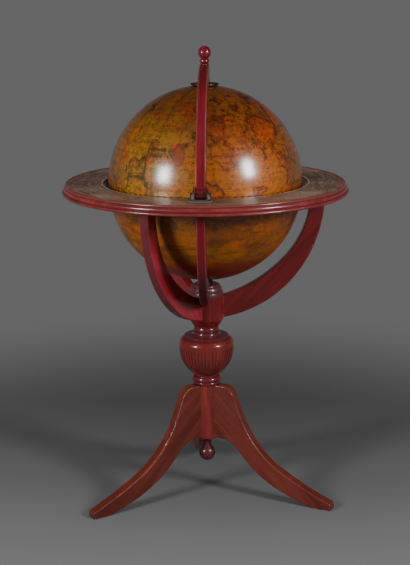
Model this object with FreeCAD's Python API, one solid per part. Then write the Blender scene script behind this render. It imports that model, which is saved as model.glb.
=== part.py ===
import FreeCAD, Part
import math
import os

# Floor-standing globe bar: a tripod column and a three-armed cradle carry a horizon ring.
# A two-part sphere turns inside the ring, and its upper half is hung from a hinged meridian arm.
# Millimetres, +Z up, origin on the floor under the column's axis. The arm's hinge is on the -Y side.

# Sphere
globe_radius = 200.0
shell_wall = 4.0
lining_wall = 1.0
rim_lip_height = 4.0
rim_hoop_height = 10.0
rim_width = 9.5
lid_seat_gap = 0.3
pole_block_radius = 38.0
pole_block_height = 13.0
running_clearance = 0.08
thrust_gap = 0.3

# Tripod
leg_count = 3
leg_azimuth = 66.3
leg_height = 239.0
leg_reach = 291.0
leg_thickness = 23.0
leg_edge_round = 2.5
leg_toe_height = 16.0
leg_toe_round = 7.0
leg_dowel_radius = 5.0
leg_dowel_length = 28.0
post_radius = 25.5
post_height = 121.0
post_edge_round = 4.0
pendant_ball_radius = 17.5
pendant_neck_radius = 10.0
pendant_neck_height = 22.0
pendant_waist_radius = 8.5
pendant_collar_radius = 14.0
pendant_collar_height = 3.0

# Turned column
column_height = 128.0
urn_radius = 58.0
column_neck_radius = 26.5
column_bead_radius = 30.5
column_waist_radius = 25.0
flute_count = 48
flute_width = 1.8
flute_depth = 0.8
tie_rod_radius = 4.0
tie_rod_slack = 0.5
tie_rod_insert_radius = 7.0
tie_rod_insert_length = 22.0
tie_rod_engagement = 16.0

# Hub under the sphere
hub_radius = 36.5
hub_foot_radius = 27.0
hub_foot_height = 15.0
hub_body_height = 51.5
hub_dome_height = 24.5
hub_cap_radius = 21.0
pivot_gap = 12.0
pivot_bolt_radius = 5.0
pivot_bolt_depth = 26.0
pivot_collar_radius = 14.0
pivot_washer_radius = 13.0
pivot_washer_thickness = 2.0
pivot_nut_radius = 9.5
pivot_nut_height = 8.0
bolt_thread_overhang = 3.0

# Cradle arms
arm_count = 3
arm_azimuth = 93.5
arm_thickness = 20.0
arm_top_width = 30.0
arm_ring_inset = 7.0
arm_hub_depth = 47.5
arm_edge_round = 2.5
arm_shoulder_drop = 0.5
arm_dowel_radius = 4.0
arm_dowel_length = 32.0
ring_screw_length = 40.0

# Horizon ring
ring_gap = 9.5
ring_top_width = 75.5
ring_thickness = 19.0
ring_rise = 3.0
rim_bead_step = 3.3
rim_groove = 1.2
rim_bead_height_shares = [0.22, 0.50, 0.28]
paper_thickness = 0.4
paper_inner_margin = 2.0
paper_outer_margin = 1.5

# Meridian strips, above and below the ring
meridian_gap = 12.0
meridian_depth = 30.0
meridian_thickness = 19.5
meridian_edge_round = 1.5
meridian_tip = 10.0
meridian_tip_round = 7.0
slot_clearance = 0.15
slot_end_radius = 14.5
lower_strip_depth = 40.5
lower_strip_thickness = 18.0

# Polar bolt, disc and finial
polar_bolt_radius = 3.0
polar_disc_radius = 28.5
polar_disc_thickness = 3.5
polar_spacer_radius = 10.0
polar_washer_radius = 9.0
polar_washer_thickness = 1.5
polar_nut_radius = 5.8
polar_nut_height = 5.0
spot_face_depth = 0.4
finial_collar_radius = 8.5
finial_collar_height = 1.5
finial_bead_radius = 10.0
finial_bead_height = 10.5
finial_neck_radius = 6.5
finial_ball_radius = 13.3
finial_bore_depth = 16.0

# Hinge at the arm's foot
hinge_setback = 4.0
hinge_base_width = 50.0
hinge_base_thickness = 4.0
hinge_base_front = 21.0
hinge_base_back = 22.0
hinge_base_round = 12.0
hinge_ear_width = 9.5
hinge_ear_radius = 6.5
hinge_ear_gap = 0.3
hinge_pin_radius = 2.5
hinge_pin_head_radius = 4.0
hinge_pin_head_height = 1.2
knuckle_radius = 6.0
knuckle_gap = 0.5
shoe_thickness = 1.5
shoe_height = 11.0
cheek_thickness = 1.2
cheek_low = 8.5
cheek_high = 18.0
cheek_depth = 14.0

# Screws
screw_head_radius = 4.0
screw_shank_radius = 2.0
screw_head_height = 2.0
screw_length = 16.0
small_screw_length = 12.0

# Bottle rack inside the bowl
rack_floor_lift = 37.0
rack_floor_thickness = 8.0
rack_deck_drop = 46.0
rack_deck_thickness = 6.0
bottle_count = 3
bottle_hole_radius = 45.0
glass_count = 6
glass_hole_radius = 25.0
glass_hole_inset = 47.0
rack_web = 6.0
rack_post_radius = 7.0
rack_post_inset = 99.0

# Places worked out from the sizes above
full_turn = 360.0
quarter_turn = full_turn / 4
overrun = 2.0
edge_match = 0.2
post_bottom = leg_height - post_height
hub_bottom = leg_height + column_height
hub_shoulder = hub_bottom + hub_foot_height
hub_deck = hub_shoulder + hub_body_height
hub_top = hub_deck + hub_dome_height
centre = hub_top + pivot_gap + globe_radius
ring_top = centre + ring_rise
ring_bottom = ring_top - ring_thickness
ring_face = ring_top + paper_thickness
ring_inner_radius = globe_radius + ring_gap
ring_top_radius = ring_inner_radius + ring_top_width
inner_radius = globe_radius - shell_wall
lining_radius = inner_radius - lining_wall
glass_pitch_radius = lining_radius - glass_hole_inset
bottle_pitch_radius = glass_pitch_radius - glass_hole_radius - rack_web - bottle_hole_radius
rack_post_pitch_radius = lining_radius - rack_post_inset
meridian_inner = globe_radius + meridian_gap
meridian_outer = meridian_inner + meridian_depth
hinge_radius = meridian_outer - hinge_setback
lower_outer = meridian_inner + lower_strip_depth
hinge_base_top = ring_face + hinge_base_thickness
hinge_height = hinge_base_top + knuckle_radius + knuckle_gap
arm_top_inner = ring_inner_radius + arm_ring_inset
arm_hub_top = hub_deck - arm_shoulder_drop


def vector(x, y, z):
    return FreeCAD.Vector(x, y, z)


def line(a, b):
    """A straight edge of the XZ plane, between two (r, z) points."""
    return Part.LineSegment(vector(a[0], 0, a[1]), vector(b[0], 0, b[1])).toShape()


def arc(a, via, b):
    """An arc of the XZ plane through three (r, z) points."""
    points = [vector(p[0], 0, p[1]) for p in (a, via, b)]
    return Part.Arc(*points).toShape()


def direction(heading):
    """Unit direction in the XZ plane; 0 degrees points outwards and 90 degrees points up."""
    return (math.cos(math.radians(heading)), math.sin(math.radians(heading)))


def tangent_arc(start, heading, end):
    """The arc that leaves a point at a heading and ends at another point, and its last heading."""
    out = direction(heading)
    across, up = end[0] - start[0], end[1] - start[1]
    turn = math.atan2(out[0] * up - out[1] * across, out[0] * across + out[1] * up)
    bulge = math.tan(turn / 2) / 2
    via = ((start[0] + end[0]) / 2 + up * bulge, (start[1] + end[1]) / 2 - across * bulge)
    return arc(start, via, end), heading + math.degrees(2 * turn)


def bend(start, start_heading, end, end_heading):
    """Two tangent arcs from one point and heading to another."""
    a, b = direction(start_heading), direction(end_heading)
    across, up = end[0] - start[0], end[1] - start[1]
    square = across ** 2 + up ** 2
    along = across * (a[0] + b[0]) + up * (a[1] + b[1])
    cosine = a[0] * b[0] + a[1] * b[1]
    length = square / (along + math.sqrt(along ** 2 + 2 * (1 - cosine) * square))
    joint = tuple((start[i] + length * a[i] + end[i] - length * b[i]) / 2 for i in (0, 1))
    first, heading = tangent_arc(start, start_heading, joint)
    return [first, tangent_arc(joint, heading, end)[0]]


def bends(stations):
    """Tangent arcs through stations, each a point and a heading."""
    edges = []
    for (start, start_heading), (end, end_heading) in zip(stations, stations[1:]):
        edges += bend(start, start_heading, end, end_heading)
    return edges


def face(edges):
    return Part.Face(Part.Wire(edges))


def path(points):
    """Straight edges from each (r, z) point to the next."""
    return [line(a, b) for a, b in zip(points, points[1:])]


def turned(edges):
    """The solid that a closed half outline sweeps round the Z axis."""
    return face(edges).revolve(vector(0, 0, 0), vector(0, 0, 1), full_turn)


def board(edges, thickness):
    """A flat board cut to an outline of the XZ plane, centred on that plane."""
    flat = face(edges)
    flat.translate(vector(0, -thickness / 2, 0))
    return flat.extrude(vector(0, thickness, 0))


def at_azimuth(shape, azimuth):
    """Turns a shape that points along +X to an azimuth, counted from -Y towards +X."""
    placed = shape.copy()
    placed.rotate(vector(0, 0, 0), vector(0, 0, 1), azimuth - quarter_turn)
    return placed


def azimuths(count, first):
    return [first + full_turn * i / count for i in range(count)]


def rod(radius, low, high, x=0.0, y=0.0):
    """An upright cylinder between two heights."""
    return Part.makeCylinder(radius, high - low, vector(x, y, low))


def ring_body(outer, inner, low, high):
    return rod(outer, low, high).cut(rod(inner, low - overrun, high + overrun))


def ball(radius):
    """A sphere about the globe's centre."""
    return Part.makeSphere(radius, vector(0, 0, centre))


def across_x(radius, half_width, y, z):
    """A cylinder along X, centred on the YZ plane."""
    return Part.makeCylinder(radius, 2 * half_width, vector(-half_width, y, z), vector(1, 0, 0))


def slab(low, high):
    """A square slab wider than the sphere, between two heights."""
    side = 2 * globe_radius + 2 * overrun
    return Part.makeBox(side, side, high - low, vector(-side / 2, -side / 2, low))


def countersunk_screw(length):
    """A screw that points down the -Z axis, with the top of its head at the origin."""
    head = Part.makeCone(screw_shank_radius, screw_head_radius, screw_head_height,
                         vector(0, 0, -screw_head_height))
    shank = Part.makeCylinder(screw_shank_radius, length, vector(0, 0, -length))
    return head.fuse(shank).removeSplitter()


def hexagon(radius, low, high, bore):
    corners = [(radius * math.cos(math.radians(a)), radius * math.sin(math.radians(a)))
               for a in azimuths(6, 0)]
    points = [vector(x, y, low) for x, y in corners + corners[:1]]
    prism = Part.Face(Part.makePolygon(points)).extrude(vector(0, 0, high - low))
    return prism.cut(rod(bore, low - overrun, high + overrun))


def rounded(shape, radius, wanted):
    """Rounds the edges whose middle passes the test."""
    edges = [e for e in shape.Edges if wanted(e.valueAt((e.FirstParameter + e.LastParameter) / 2))]
    return shape.makeFillet(radius, edges)


# Tripod

# Each station has its shares of the leg's reach past the post and of its height, and its heading.
leg_top_shares = [(0.06, 1.0, 0), (0.154, 0.921, -69), (0.28, 0.598, -59)]
leg_toe_headings = [-21, -112]
leg_under_shares = [(0.05, 0.508, 0), (0.238, 0.370, -50), (0.79, 0.017, -14)]
leg_sole_share = 0.83
leg_dowel_shares = [0.62, 0.88]


def leg_stations(shares):
    out = leg_reach - post_radius
    return [((post_radius + r * out, z * leg_height), heading) for r, z, heading in shares]


def leg_board():
    """Sabre leg cut from a board, with softened arrises and a flat sole."""
    toe_high = (leg_reach - leg_toe_round, leg_toe_height)
    toe_low = (leg_reach - leg_toe_round / 2, 0)
    sole_back = (post_radius + leg_sole_share * (leg_reach - post_radius), 0)
    top = leg_stations(leg_top_shares)
    under = leg_stations(leg_under_shares)
    inner = post_radius / 2
    root_high, root_low = (inner, leg_height), (inner, under[0][0][1])
    edges = [line(root_high, top[0][0])]
    edges += bends(top + [(toe_high, leg_toe_headings[0]), (toe_low, leg_toe_headings[1])])
    edges += path([toe_low, sole_back, under[-1][0]]) + bends(under)[::-1]
    edges += path([under[0][0], root_low, root_high])
    blank = board(edges, leg_thickness)
    side = leg_thickness / 2
    soft = rounded(blank, leg_edge_round,
                   lambda p: abs(abs(p.y) - side) < edge_match and p.z > edge_match
                   and p.x > inner + edge_match)
    return soft.cut(rod(post_radius, -overrun, leg_height + overrun))


def leg_dowels_bare():
    start = post_radius - leg_dowel_length / 2
    return [Part.makeCylinder(leg_dowel_radius, leg_dowel_length, vector(start, 0, s * leg_height),
                              vector(1, 0, 0)) for s in leg_dowel_shares]


def make_tripod():
    """Three sabre legs dowelled to a round post, with a turned pendant screwed on below."""
    parts = {}
    dowels = []
    post = rod(post_radius, post_bottom, leg_height)
    post = rounded(post, post_edge_round, lambda p: p.z < post_bottom + edge_match)
    leg = leg_board()
    for dowel in leg_dowels_bare():
        leg = leg.cut(dowel)
    for i, azimuth in enumerate(azimuths(leg_count, leg_azimuth)):
        parts["leg_%d" % (i + 1)] = at_azimuth(leg, azimuth)
        dowels += [at_azimuth(d, azimuth) for d in leg_dowels_bare()]
    for dowel in dowels:
        post = post.cut(dowel)
    parts["tripod_post"] = post.cut(rod(tie_rod_radius + tie_rod_slack, post_bottom - overrun,
                                        leg_height + overrun))
    parts["leg_dowels"] = Part.makeCompound(dowels)
    return parts


def make_pendant():
    """Turned ball on a waisted neck. It is the lower nut of the tie rod."""
    collar_low = post_bottom - pendant_collar_height
    neck_low = post_bottom - pendant_neck_height
    ball_centre = neck_low - math.sqrt(pendant_ball_radius ** 2 - pendant_neck_radius ** 2)
    waist = (pendant_waist_radius, (collar_low + neck_low) / 2)
    bottom = (0, ball_centre - pendant_ball_radius)
    edges = path([(0, post_bottom), (pendant_collar_radius, post_bottom), (pendant_collar_radius, collar_low),
                  (pendant_neck_radius, collar_low)])
    edges += [arc((pendant_neck_radius, collar_low), waist, (pendant_neck_radius, neck_low)),
             arc((pendant_neck_radius, neck_low), (pendant_ball_radius, ball_centre), bottom),
             line(bottom, (0, post_bottom))]
    bore = rod(tie_rod_radius, post_bottom - tie_rod_engagement, post_bottom + overrun)
    return {"pendant_finial": turned(edges).cut(bore)}


# Turned column: an urn with upright flutes between a bead and a neck.
# Each share is of the urn's radius or of the column's height.

urn_foot_shares = (0.49, 0.195)
urn_foot_heading = 12
flute_low_shares = (0.76, 0.30)
flute_low_heading = 52
flute_high_share = 0.66
urn_belly_share = 0.70
urn_shoulder_shares = (0.80, 0.815)
urn_shoulder_heading = 160
column_bead_split_share = 0.05
column_bead_top_share = 0.145
shoulder_step_share = 0.835
neck_low_share = 0.895
neck_high_share = 0.975


def column_height_at(share):
    return leg_height + share * column_height


def flute_low():
    return (flute_low_shares[0] * urn_radius, column_height_at(flute_low_shares[1]))


def flute_cutter():
    """A thin upright blade that follows the urn's side at the flutes' depth."""
    low = (flute_low()[0] - flute_depth, flute_low()[1])
    high = (urn_radius - flute_depth, column_height_at(flute_high_share))
    outside = urn_radius + overrun
    edges = bend(low, flute_low_heading, high, quarter_turn)
    edges += path([high, (outside, high[1]), (outside, low[1]), low])
    return board(edges, flute_width)


def make_column():
    foot = (urn_foot_shares[0] * urn_radius, column_height_at(urn_foot_shares[1]))
    high = (urn_radius, column_height_at(flute_high_share))
    belly = (urn_radius, column_height_at(urn_belly_share))
    shoulder = (urn_shoulder_shares[0] * urn_radius, column_height_at(urn_shoulder_shares[1]))
    step = (shoulder[0], column_height_at(shoulder_step_share))
    bead_top = column_height_at(column_bead_top_share)
    neck_low, neck_high = column_height_at(neck_low_share), column_height_at(neck_high_share)
    bead_split = column_height_at(column_bead_split_share)
    bead_foot = column_waist_radius + rim_groove
    bead_waist = column_bead_radius - 2 * rim_groove
    neck_foot = column_neck_radius - rim_groove
    edges = [line((0, leg_height), (bead_foot, leg_height)),
             arc((bead_foot, leg_height), (column_bead_radius - rim_groove, (leg_height + bead_split) / 2),
                 (bead_waist, bead_split)),
             arc((bead_waist, bead_split), (column_bead_radius, (bead_split + bead_top) / 2),
                 (bead_foot, bead_top))]
    edges += path([(bead_foot, bead_top), (column_waist_radius, bead_top), (column_waist_radius, foot[1]), foot])
    edges += bends([(foot, urn_foot_heading), (flute_low(), flute_low_heading), (high, quarter_turn)])
    edges += [line(high, belly)] + bend(belly, quarter_turn, shoulder, urn_shoulder_heading)
    edges.append(line(shoulder, step))
    edges += bend(step, 2 * quarter_turn, (column_neck_radius, neck_low), quarter_turn)
    edges += [line((column_neck_radius, neck_low), (neck_foot, neck_low)),
              arc((neck_foot, neck_low), (column_neck_radius, (neck_low + neck_high) / 2),
                  (neck_foot, neck_high))]
    edges += path([(neck_foot, neck_high), (column_waist_radius, neck_high), (column_waist_radius, hub_bottom),
                   (0, hub_bottom), (0, leg_height)])
    column = turned(edges)
    blade = flute_cutter()
    for azimuth in azimuths(flute_count, 0):
        column = column.cut(at_azimuth(blade, azimuth))
    bore = rod(tie_rod_radius + tie_rod_slack, leg_height - overrun, hub_bottom + overrun)
    return {"column_urn": column.cut(bore)}


def make_tie_rod():
    """A threaded rod clamps pendant, post, column and hub together. Its upper end is in an insert."""
    low = post_bottom - tie_rod_engagement
    insert_low = hub_shoulder
    insert_high = insert_low + tie_rod_insert_length
    insert = ring_body(tie_rod_insert_radius, tie_rod_radius, insert_low, insert_high)
    return {"tie_rod": rod(tie_rod_radius, low, insert_high), "hub_insert": insert}


# Hub

hub_lower_bead_shares = [(0.992, 0.15), (0.965, 0.30)]
hub_upper_bead_shares = [(0.935, 0.34), (0.915, 0.58), (0.82, 0.82)]
hub_cap_groove_share = 0.79
arm_dowel_shares = [0.23, 0.54]


def dome_point(share):
    return (share[0] * hub_radius, hub_deck + share[1] * hub_dome_height)


def arm_dowel_heights():
    low = arm_hub_top - arm_hub_depth
    return [low + arm_hub_depth * share for share in arm_dowel_shares]


def arm_dowels_bare():
    start = hub_radius - arm_dowel_length / 2
    return [Part.makeCylinder(arm_dowel_radius, arm_dowel_length, vector(start, 0, z), vector(1, 0, 0))
            for z in arm_dowel_heights()]


def strip_slot():
    """The room that the lower strip's foot takes in the hub and in the arm beside it."""
    width = lower_strip_thickness + 2 * slot_clearance
    barrel = across_x(lower_outer + slot_clearance, width / 2, 0, centre)
    high = centre - globe_radius
    reach = lower_outer + overrun
    keep = Part.makeBox(width, reach - slot_end_radius + slot_clearance, high - hub_shoulder,
                        vector(-width / 2, -reach, hub_shoulder))
    return barrel.common(keep)


def make_hub():
    """Turned hub: cone foot, plain drum for the arms, and a beaded dome slotted for the lower strip."""
    lower = [dome_point(s) for s in hub_lower_bead_shares]
    upper = [dome_point(s) for s in hub_upper_bead_shares]
    groove = (hub_cap_groove_share * hub_radius, upper[-1][1])
    edges = path([(0, hub_bottom), (hub_foot_radius, hub_bottom), (hub_radius, hub_shoulder),
                  (hub_radius, hub_deck)])
    edges.append(arc((hub_radius, hub_deck), lower[0], lower[1]))
    edges += path([lower[1], (upper[0][0], lower[1][1]), upper[0]])
    edges += [arc(*upper), line(upper[-1], groove)]
    edges += bend(groove, quarter_turn, (hub_cap_radius, hub_top), full_turn / 2)
    edges += path([(hub_cap_radius, hub_top), (0, hub_top), (0, hub_bottom)])
    hub = turned(edges)
    rod_bore = rod(tie_rod_radius + tie_rod_slack, hub_bottom - overrun, hub_shoulder)
    insert_bore = rod(tie_rod_insert_radius, hub_shoulder, hub_shoulder + tie_rod_insert_length)
    bolt_bore = rod(pivot_bolt_radius, hub_top - pivot_bolt_depth, hub_top + overrun)
    for cutter in (rod_bore, insert_bore, bolt_bore, strip_slot()):
        hub = hub.cut(cutter)
    dowels = [at_azimuth(d, a) for a in azimuths(arm_count, arm_azimuth) for d in arm_dowels_bare()]
    for dowel in dowels:
        hub = hub.cut(dowel)
    return {"cradle_hub": hub, "arm_dowels": Part.makeCompound(dowels)}


# Cradle

# Headings of the arm's inner and outer edges where they leave the hub and where they reach the ring.
arm_inner_headings = [17, 92]
arm_outer_headings = [10, 92]


def arm_board():
    """Cradle arm cut from a board: both edges sweep from the hub up to the ring's underside."""
    top_inner = (arm_top_inner, ring_bottom)
    top_outer = (arm_top_inner + arm_top_width, ring_bottom)
    hub_high = (hub_radius, arm_hub_top)
    hub_low = (hub_radius, arm_hub_top - arm_hub_depth)
    inside = hub_radius / 2
    drop = (hub_radius - inside) * math.tan(math.radians(arm_inner_headings[0]))
    root_high = (inside, arm_hub_top - drop)
    root_low = (inside, hub_low[1])
    edges = [line(root_high, hub_high)]
    edges += bend(hub_high, arm_inner_headings[0], top_inner, arm_inner_headings[1])
    edges += [line(top_inner, top_outer)]
    edges += bend(hub_low, arm_outer_headings[0], top_outer, arm_outer_headings[1])[::-1]
    edges += path([hub_low, root_low, root_high])
    blank = board(edges, arm_thickness)
    side = arm_thickness / 2
    soft = rounded(blank, arm_edge_round,
                   lambda p: abs(abs(p.y) - side) < edge_match and p.z < ring_bottom - edge_match
                   and p.x > inside + edge_match)
    return soft.cut(rod(hub_radius, 0, centre)), (top_inner[0] + top_outer[0]) / 2


def ring_screw(radius):
    """A long countersunk screw from the ring's top face down into what stands under it."""
    screw = countersunk_screw(ring_screw_length)
    screw.translate(vector(radius, 0, ring_top))
    return screw


def make_cradle():
    parts = {}
    arm, screw_radius = arm_board()
    for dowel in arm_dowels_bare():
        arm = arm.cut(dowel)
    arm = arm.cut(ring_screw(screw_radius))
    screws = [at_azimuth(ring_screw(screw_radius), a) for a in azimuths(arm_count, arm_azimuth)]
    for i, azimuth in enumerate(azimuths(arm_count, arm_azimuth)):
        parts["cradle_arm_%d" % (i + 1)] = at_azimuth(arm, azimuth).cut(strip_slot())
    strip_screw = at_azimuth(ring_screw((meridian_inner + lower_outer) / 2), 0)
    parts["ring_screws"] = Part.makeCompound(screws + [strip_screw])
    return parts


def rim_bead(radius, high, low):
    """One convex bead of the ring's moulded rim, as an arc from its top to its foot."""
    return arc((radius - rim_groove, high), (radius + rim_bead_step, (high + low) / 2), (radius, low))


def make_ring(screws):
    """Horizon ring with three stepped beads on its rim, and the printed paper on its top face."""
    edges = [line((ring_inner_radius, ring_bottom), (ring_inner_radius, ring_top))]
    start = (ring_inner_radius, ring_top)
    for i, share in enumerate(rim_bead_height_shares):
        radius = ring_top_radius + i * rim_bead_step
        high = start[1]
        low = high - share * ring_thickness
        edges += [line(start, (radius - rim_groove, high)), rim_bead(radius, high, low)]
        start = (radius, low)
    edges.append(line(start, (ring_inner_radius, ring_bottom)))
    ring = turned(edges)
    for screw in screws.Solids:
        ring = ring.cut(screw)
    paper = ring_body(ring_top_radius - paper_outer_margin, ring_inner_radius + paper_inner_margin,
                      ring_top, ring_face)
    return {"horizon_ring": ring, "ring_paper": paper}


def meridian_strip(outer, thickness, low, high, tip):
    """The part of the meridian between two heights, from -Y up to a plane at a Y place."""
    half = thickness / 2
    hoop = across_x(outer, half, 0, centre).cut(across_x(meridian_inner, half, 0, centre))
    reach = outer + overrun
    return hoop.common(Part.makeBox(2 * half, reach + tip, high - low, vector(-half, -reach, low)))


def on_long_edge(p, outer, thickness):
    """True for a point on one of a strip's four long arrises."""
    away = math.hypot(p.y, p.z - centre)
    on_arc = min(abs(away - outer), abs(away - meridian_inner)) < edge_match
    return on_arc and abs(abs(p.x) - thickness / 2) < edge_match


def make_meridian(screws):
    width = lower_strip_thickness
    strip = meridian_strip(lower_outer, width, hub_shoulder, ring_bottom, -slot_end_radius)
    strip = rounded(strip, meridian_edge_round, lambda p: on_long_edge(p, lower_outer, width))
    strip = strip.cut(screws.Solids[-1])
    thickness = meridian_thickness
    side = thickness / 2
    arm = meridian_strip(meridian_outer, thickness, hinge_base_top + knuckle_gap,
                         centre + meridian_outer + overrun, meridian_tip)
    arm = rounded(arm, meridian_tip_round,
                  lambda p: abs(p.y - meridian_tip) < edge_match and abs(abs(p.x) - side) < edge_match)
    arm = rounded(arm, meridian_edge_round,
                  lambda p: on_long_edge(p, meridian_outer, thickness)
                  and p.y < meridian_tip - meridian_tip_round)
    top_seat = rod(finial_bead_radius, arm_seat(), arm_seat() + meridian_depth)
    under_seat = rod(polar_spacer_radius + slot_clearance, centre + meridian_inner - overrun, spacer_top())
    bore = rod(polar_bolt_radius, centre, centre + meridian_outer + overrun)
    knuckle_room = across_x(knuckle_radius, side, -hinge_radius, hinge_height)
    front_room = Part.makeBox(2 * side, meridian_depth, 2 * knuckle_radius - knuckle_gap,
                              vector(-side, -hinge_radius - meridian_depth, hinge_height - knuckle_radius))
    for cutter in (top_seat, under_seat, bore, knuckle_room, front_room):
        arm = arm.cut(cutter)
    for screw in shoe_screws():
        arm = arm.cut(screw)
    return {"meridian_lower": strip, "meridian_arm": arm}


# Pole: disc, spacer, bolt and finial

def arm_seat():
    return centre + meridian_outer - spot_face_depth


def spacer_top():
    return centre + meridian_inner + spot_face_depth


def pole_block_low():
    return centre + lining_radius - pole_block_height


def make_finial():
    """Ball over a bead. The polar bolt runs up into it."""
    base = arm_seat()
    bead_low = base + finial_collar_height
    bead_high = bead_low + finial_bead_height
    ball_centre = bead_high + math.sqrt(finial_ball_radius ** 2 - finial_neck_radius ** 2)
    top = (0, ball_centre + finial_ball_radius)
    edges = path([(0, base), (finial_collar_radius, base), (finial_collar_radius, bead_low),
                  (finial_neck_radius, bead_low)])
    edges += [arc((finial_neck_radius, bead_low), (finial_bead_radius, (bead_low + bead_high) / 2),
                  (finial_neck_radius, bead_high)),
             arc((finial_neck_radius, bead_high), (finial_ball_radius, ball_centre), top),
             line(top, (0, base))]
    bore = rod(polar_bolt_radius, base - overrun, base + finial_bore_depth)
    return turned(edges).cut(bore)


def make_pole():
    disc_low = centre + globe_radius + thrust_gap
    disc_high = disc_low + polar_disc_thickness
    disc = ring_body(polar_disc_radius, polar_bolt_radius, disc_low, disc_high)
    disc = rounded(disc, polar_disc_thickness / 3, lambda p: math.hypot(p.x, p.y) > polar_disc_radius / 2)
    spacer = ring_body(polar_spacer_radius, polar_bolt_radius, disc_high, spacer_top())
    washer_high = pole_block_low() - thrust_gap
    washer_low = washer_high - polar_washer_thickness
    nut_low = washer_low - polar_nut_height
    bolt = rod(polar_bolt_radius, nut_low - bolt_thread_overhang, arm_seat() + finial_bore_depth)
    return {"polar_disc": disc, "polar_spacer": spacer, "polar_bolt": bolt,
            "polar_washer": ring_body(polar_washer_radius, polar_bolt_radius, washer_low, washer_high),
            "polar_nut": hexagon(polar_nut_radius, nut_low, washer_low, polar_bolt_radius),
            "finial": make_finial()}


# Hinge between ring and meridian arm. Its pin runs along X through two ears and the shoe's knuckle.

def base_screws():
    """Two screws down through the front corners of the hinge's base."""
    y = -hinge_radius - hinge_base_front + 2 * screw_head_radius
    x = hinge_base_width / 2 - 2 * screw_head_radius
    screws = []
    for side in (-x, x):
        screw = countersunk_screw(screw_length)
        screw.translate(vector(side, y, hinge_base_top))
        screws.append(screw)
    return screws


def shoe_screws():
    """One screw through the shoe's front into the arm."""
    screw = countersunk_screw(small_screw_length)
    screw.rotate(vector(0, 0, 0), vector(1, 0, 0), quarter_turn)
    rise = hinge_height + knuckle_radius + screw_head_radius - centre
    reach = math.sqrt((meridian_outer + shoe_thickness) ** 2 - rise ** 2)
    screw.translate(vector(0, -reach, centre + rise))
    return [screw]


def ear_start():
    return meridian_thickness / 2 + hinge_ear_gap


def hinge_ear(start):
    """Upright ear with a round top, which holds one end of the pin."""
    head = Part.makeCylinder(hinge_ear_radius, hinge_ear_width, vector(start, -hinge_radius, hinge_height),
                             vector(1, 0, 0))
    neck = Part.makeBox(hinge_ear_width, 2 * hinge_ear_radius, hinge_height - ring_face,
                        vector(start, -hinge_radius - hinge_ear_radius, ring_face))
    return head.fuse(neck)


def hinge_base():
    depth = hinge_base_front + hinge_base_back
    corner = vector(-hinge_base_width / 2, -hinge_radius - hinge_base_front, ring_face)
    plate = Part.makeBox(hinge_base_width, depth, hinge_base_thickness, corner)
    plate = rounded(plate, hinge_base_round,
                    lambda p: abs(p.y - corner.y) < edge_match and ring_face < p.z < hinge_base_top - edge_match
                    and abs(abs(p.x) - hinge_base_width / 2) < edge_match)
    for start in (-ear_start() - hinge_ear_width, ear_start()):
        plate = plate.fuse(hinge_ear(start))
    end = ear_start() + hinge_ear_width
    plate = plate.cut(across_x(hinge_pin_radius, end + overrun, -hinge_radius, hinge_height))
    for screw in base_screws():
        plate = plate.cut(screw)
    return plate.removeSplitter()


def hinge_pin():
    end = ear_start() + hinge_ear_width
    pin = across_x(hinge_pin_radius, end, -hinge_radius, hinge_height)
    for start in (-end - hinge_pin_head_height, end):
        pin = pin.fuse(Part.makeCylinder(hinge_pin_head_radius, hinge_pin_head_height,
                                         vector(start, -hinge_radius, hinge_height), vector(1, 0, 0)))
    return pin.removeSplitter()


def bent_plate(half_width, inner, outer, low, high):
    """A plate bent about the globe's centre on the -Y side, between two heights."""
    hoop = across_x(outer, half_width, 0, centre).cut(across_x(inner, half_width, 0, centre))
    return hoop.common(Part.makeBox(2 * half_width, outer, high - low, vector(-half_width, -outer, low)))


def hinge_shoe():
    """Shoe on the arm's foot: a bent front leaf, two side cheeks and the middle knuckle."""
    half = meridian_thickness / 2
    front = meridian_outer + shoe_thickness
    leaf_top = hinge_height + knuckle_radius + shoe_height
    shoe = bent_plate(half, meridian_outer, front, hinge_height, leaf_top)
    shoe = shoe.fuse(across_x(knuckle_radius, half, -hinge_radius, hinge_height))
    low, high = hinge_height + cheek_low, hinge_height + cheek_high
    tie = bent_plate(half + cheek_thickness, meridian_outer, front, low, leaf_top)
    cheeks = bent_plate(half + cheek_thickness, meridian_outer - cheek_depth, meridian_outer, low, high)
    cheeks = cheeks.cut(Part.makeBox(2 * half, 2 * front, 2 * cheek_high, vector(-half, -front, low)))
    shoe = shoe.fuse(tie).fuse(cheeks)
    shoe = shoe.cut(across_x(hinge_pin_radius + running_clearance, half + overrun, -hinge_radius, hinge_height))
    for screw in shoe_screws():
        shoe = shoe.cut(screw)
    return shoe.removeSplitter()


def make_hinge():
    return {"hinge_base": hinge_base(), "hinge_pin": hinge_pin(), "hinge_shoe": hinge_shoe(),
            "base_screws": Part.makeCompound(base_screws()),
            "shoe_screw": Part.makeCompound(shoe_screws())}


# Two halves of the sphere

def half_shell(outer, inner, low, high):
    return ball(outer).cut(ball(inner)).common(slab(low, high))


def make_lid():
    """Upper half: shell, lining, rim hoop with a tan lip, and the block that the polar bolt turns in."""
    lip_top = centre + rim_lip_height
    hoop_top = lip_top + rim_hoop_height
    crown = centre + globe_radius + overrun
    seat = centre + lid_seat_gap
    hole = rod(polar_bolt_radius + running_clearance, centre, crown)
    lip = ball(globe_radius).common(slab(seat, lip_top))
    hoop = ball(inner_radius).common(slab(lip_top, hoop_top))
    rim = lip.fuse(hoop).cut(rod(globe_radius - rim_width, centre - overrun, hoop_top + overrun))
    block = ball(lining_radius).common(rod(pole_block_radius, pole_block_low(), crown))
    return {"lid_shell": half_shell(globe_radius, inner_radius, lip_top, crown).cut(hole),
            "lid_lining": half_shell(inner_radius, lining_radius, hoop_top, crown).cut(hole),
            "lid_rim": rim.removeSplitter(), "lid_pole_block": block.cut(hole)}


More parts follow.
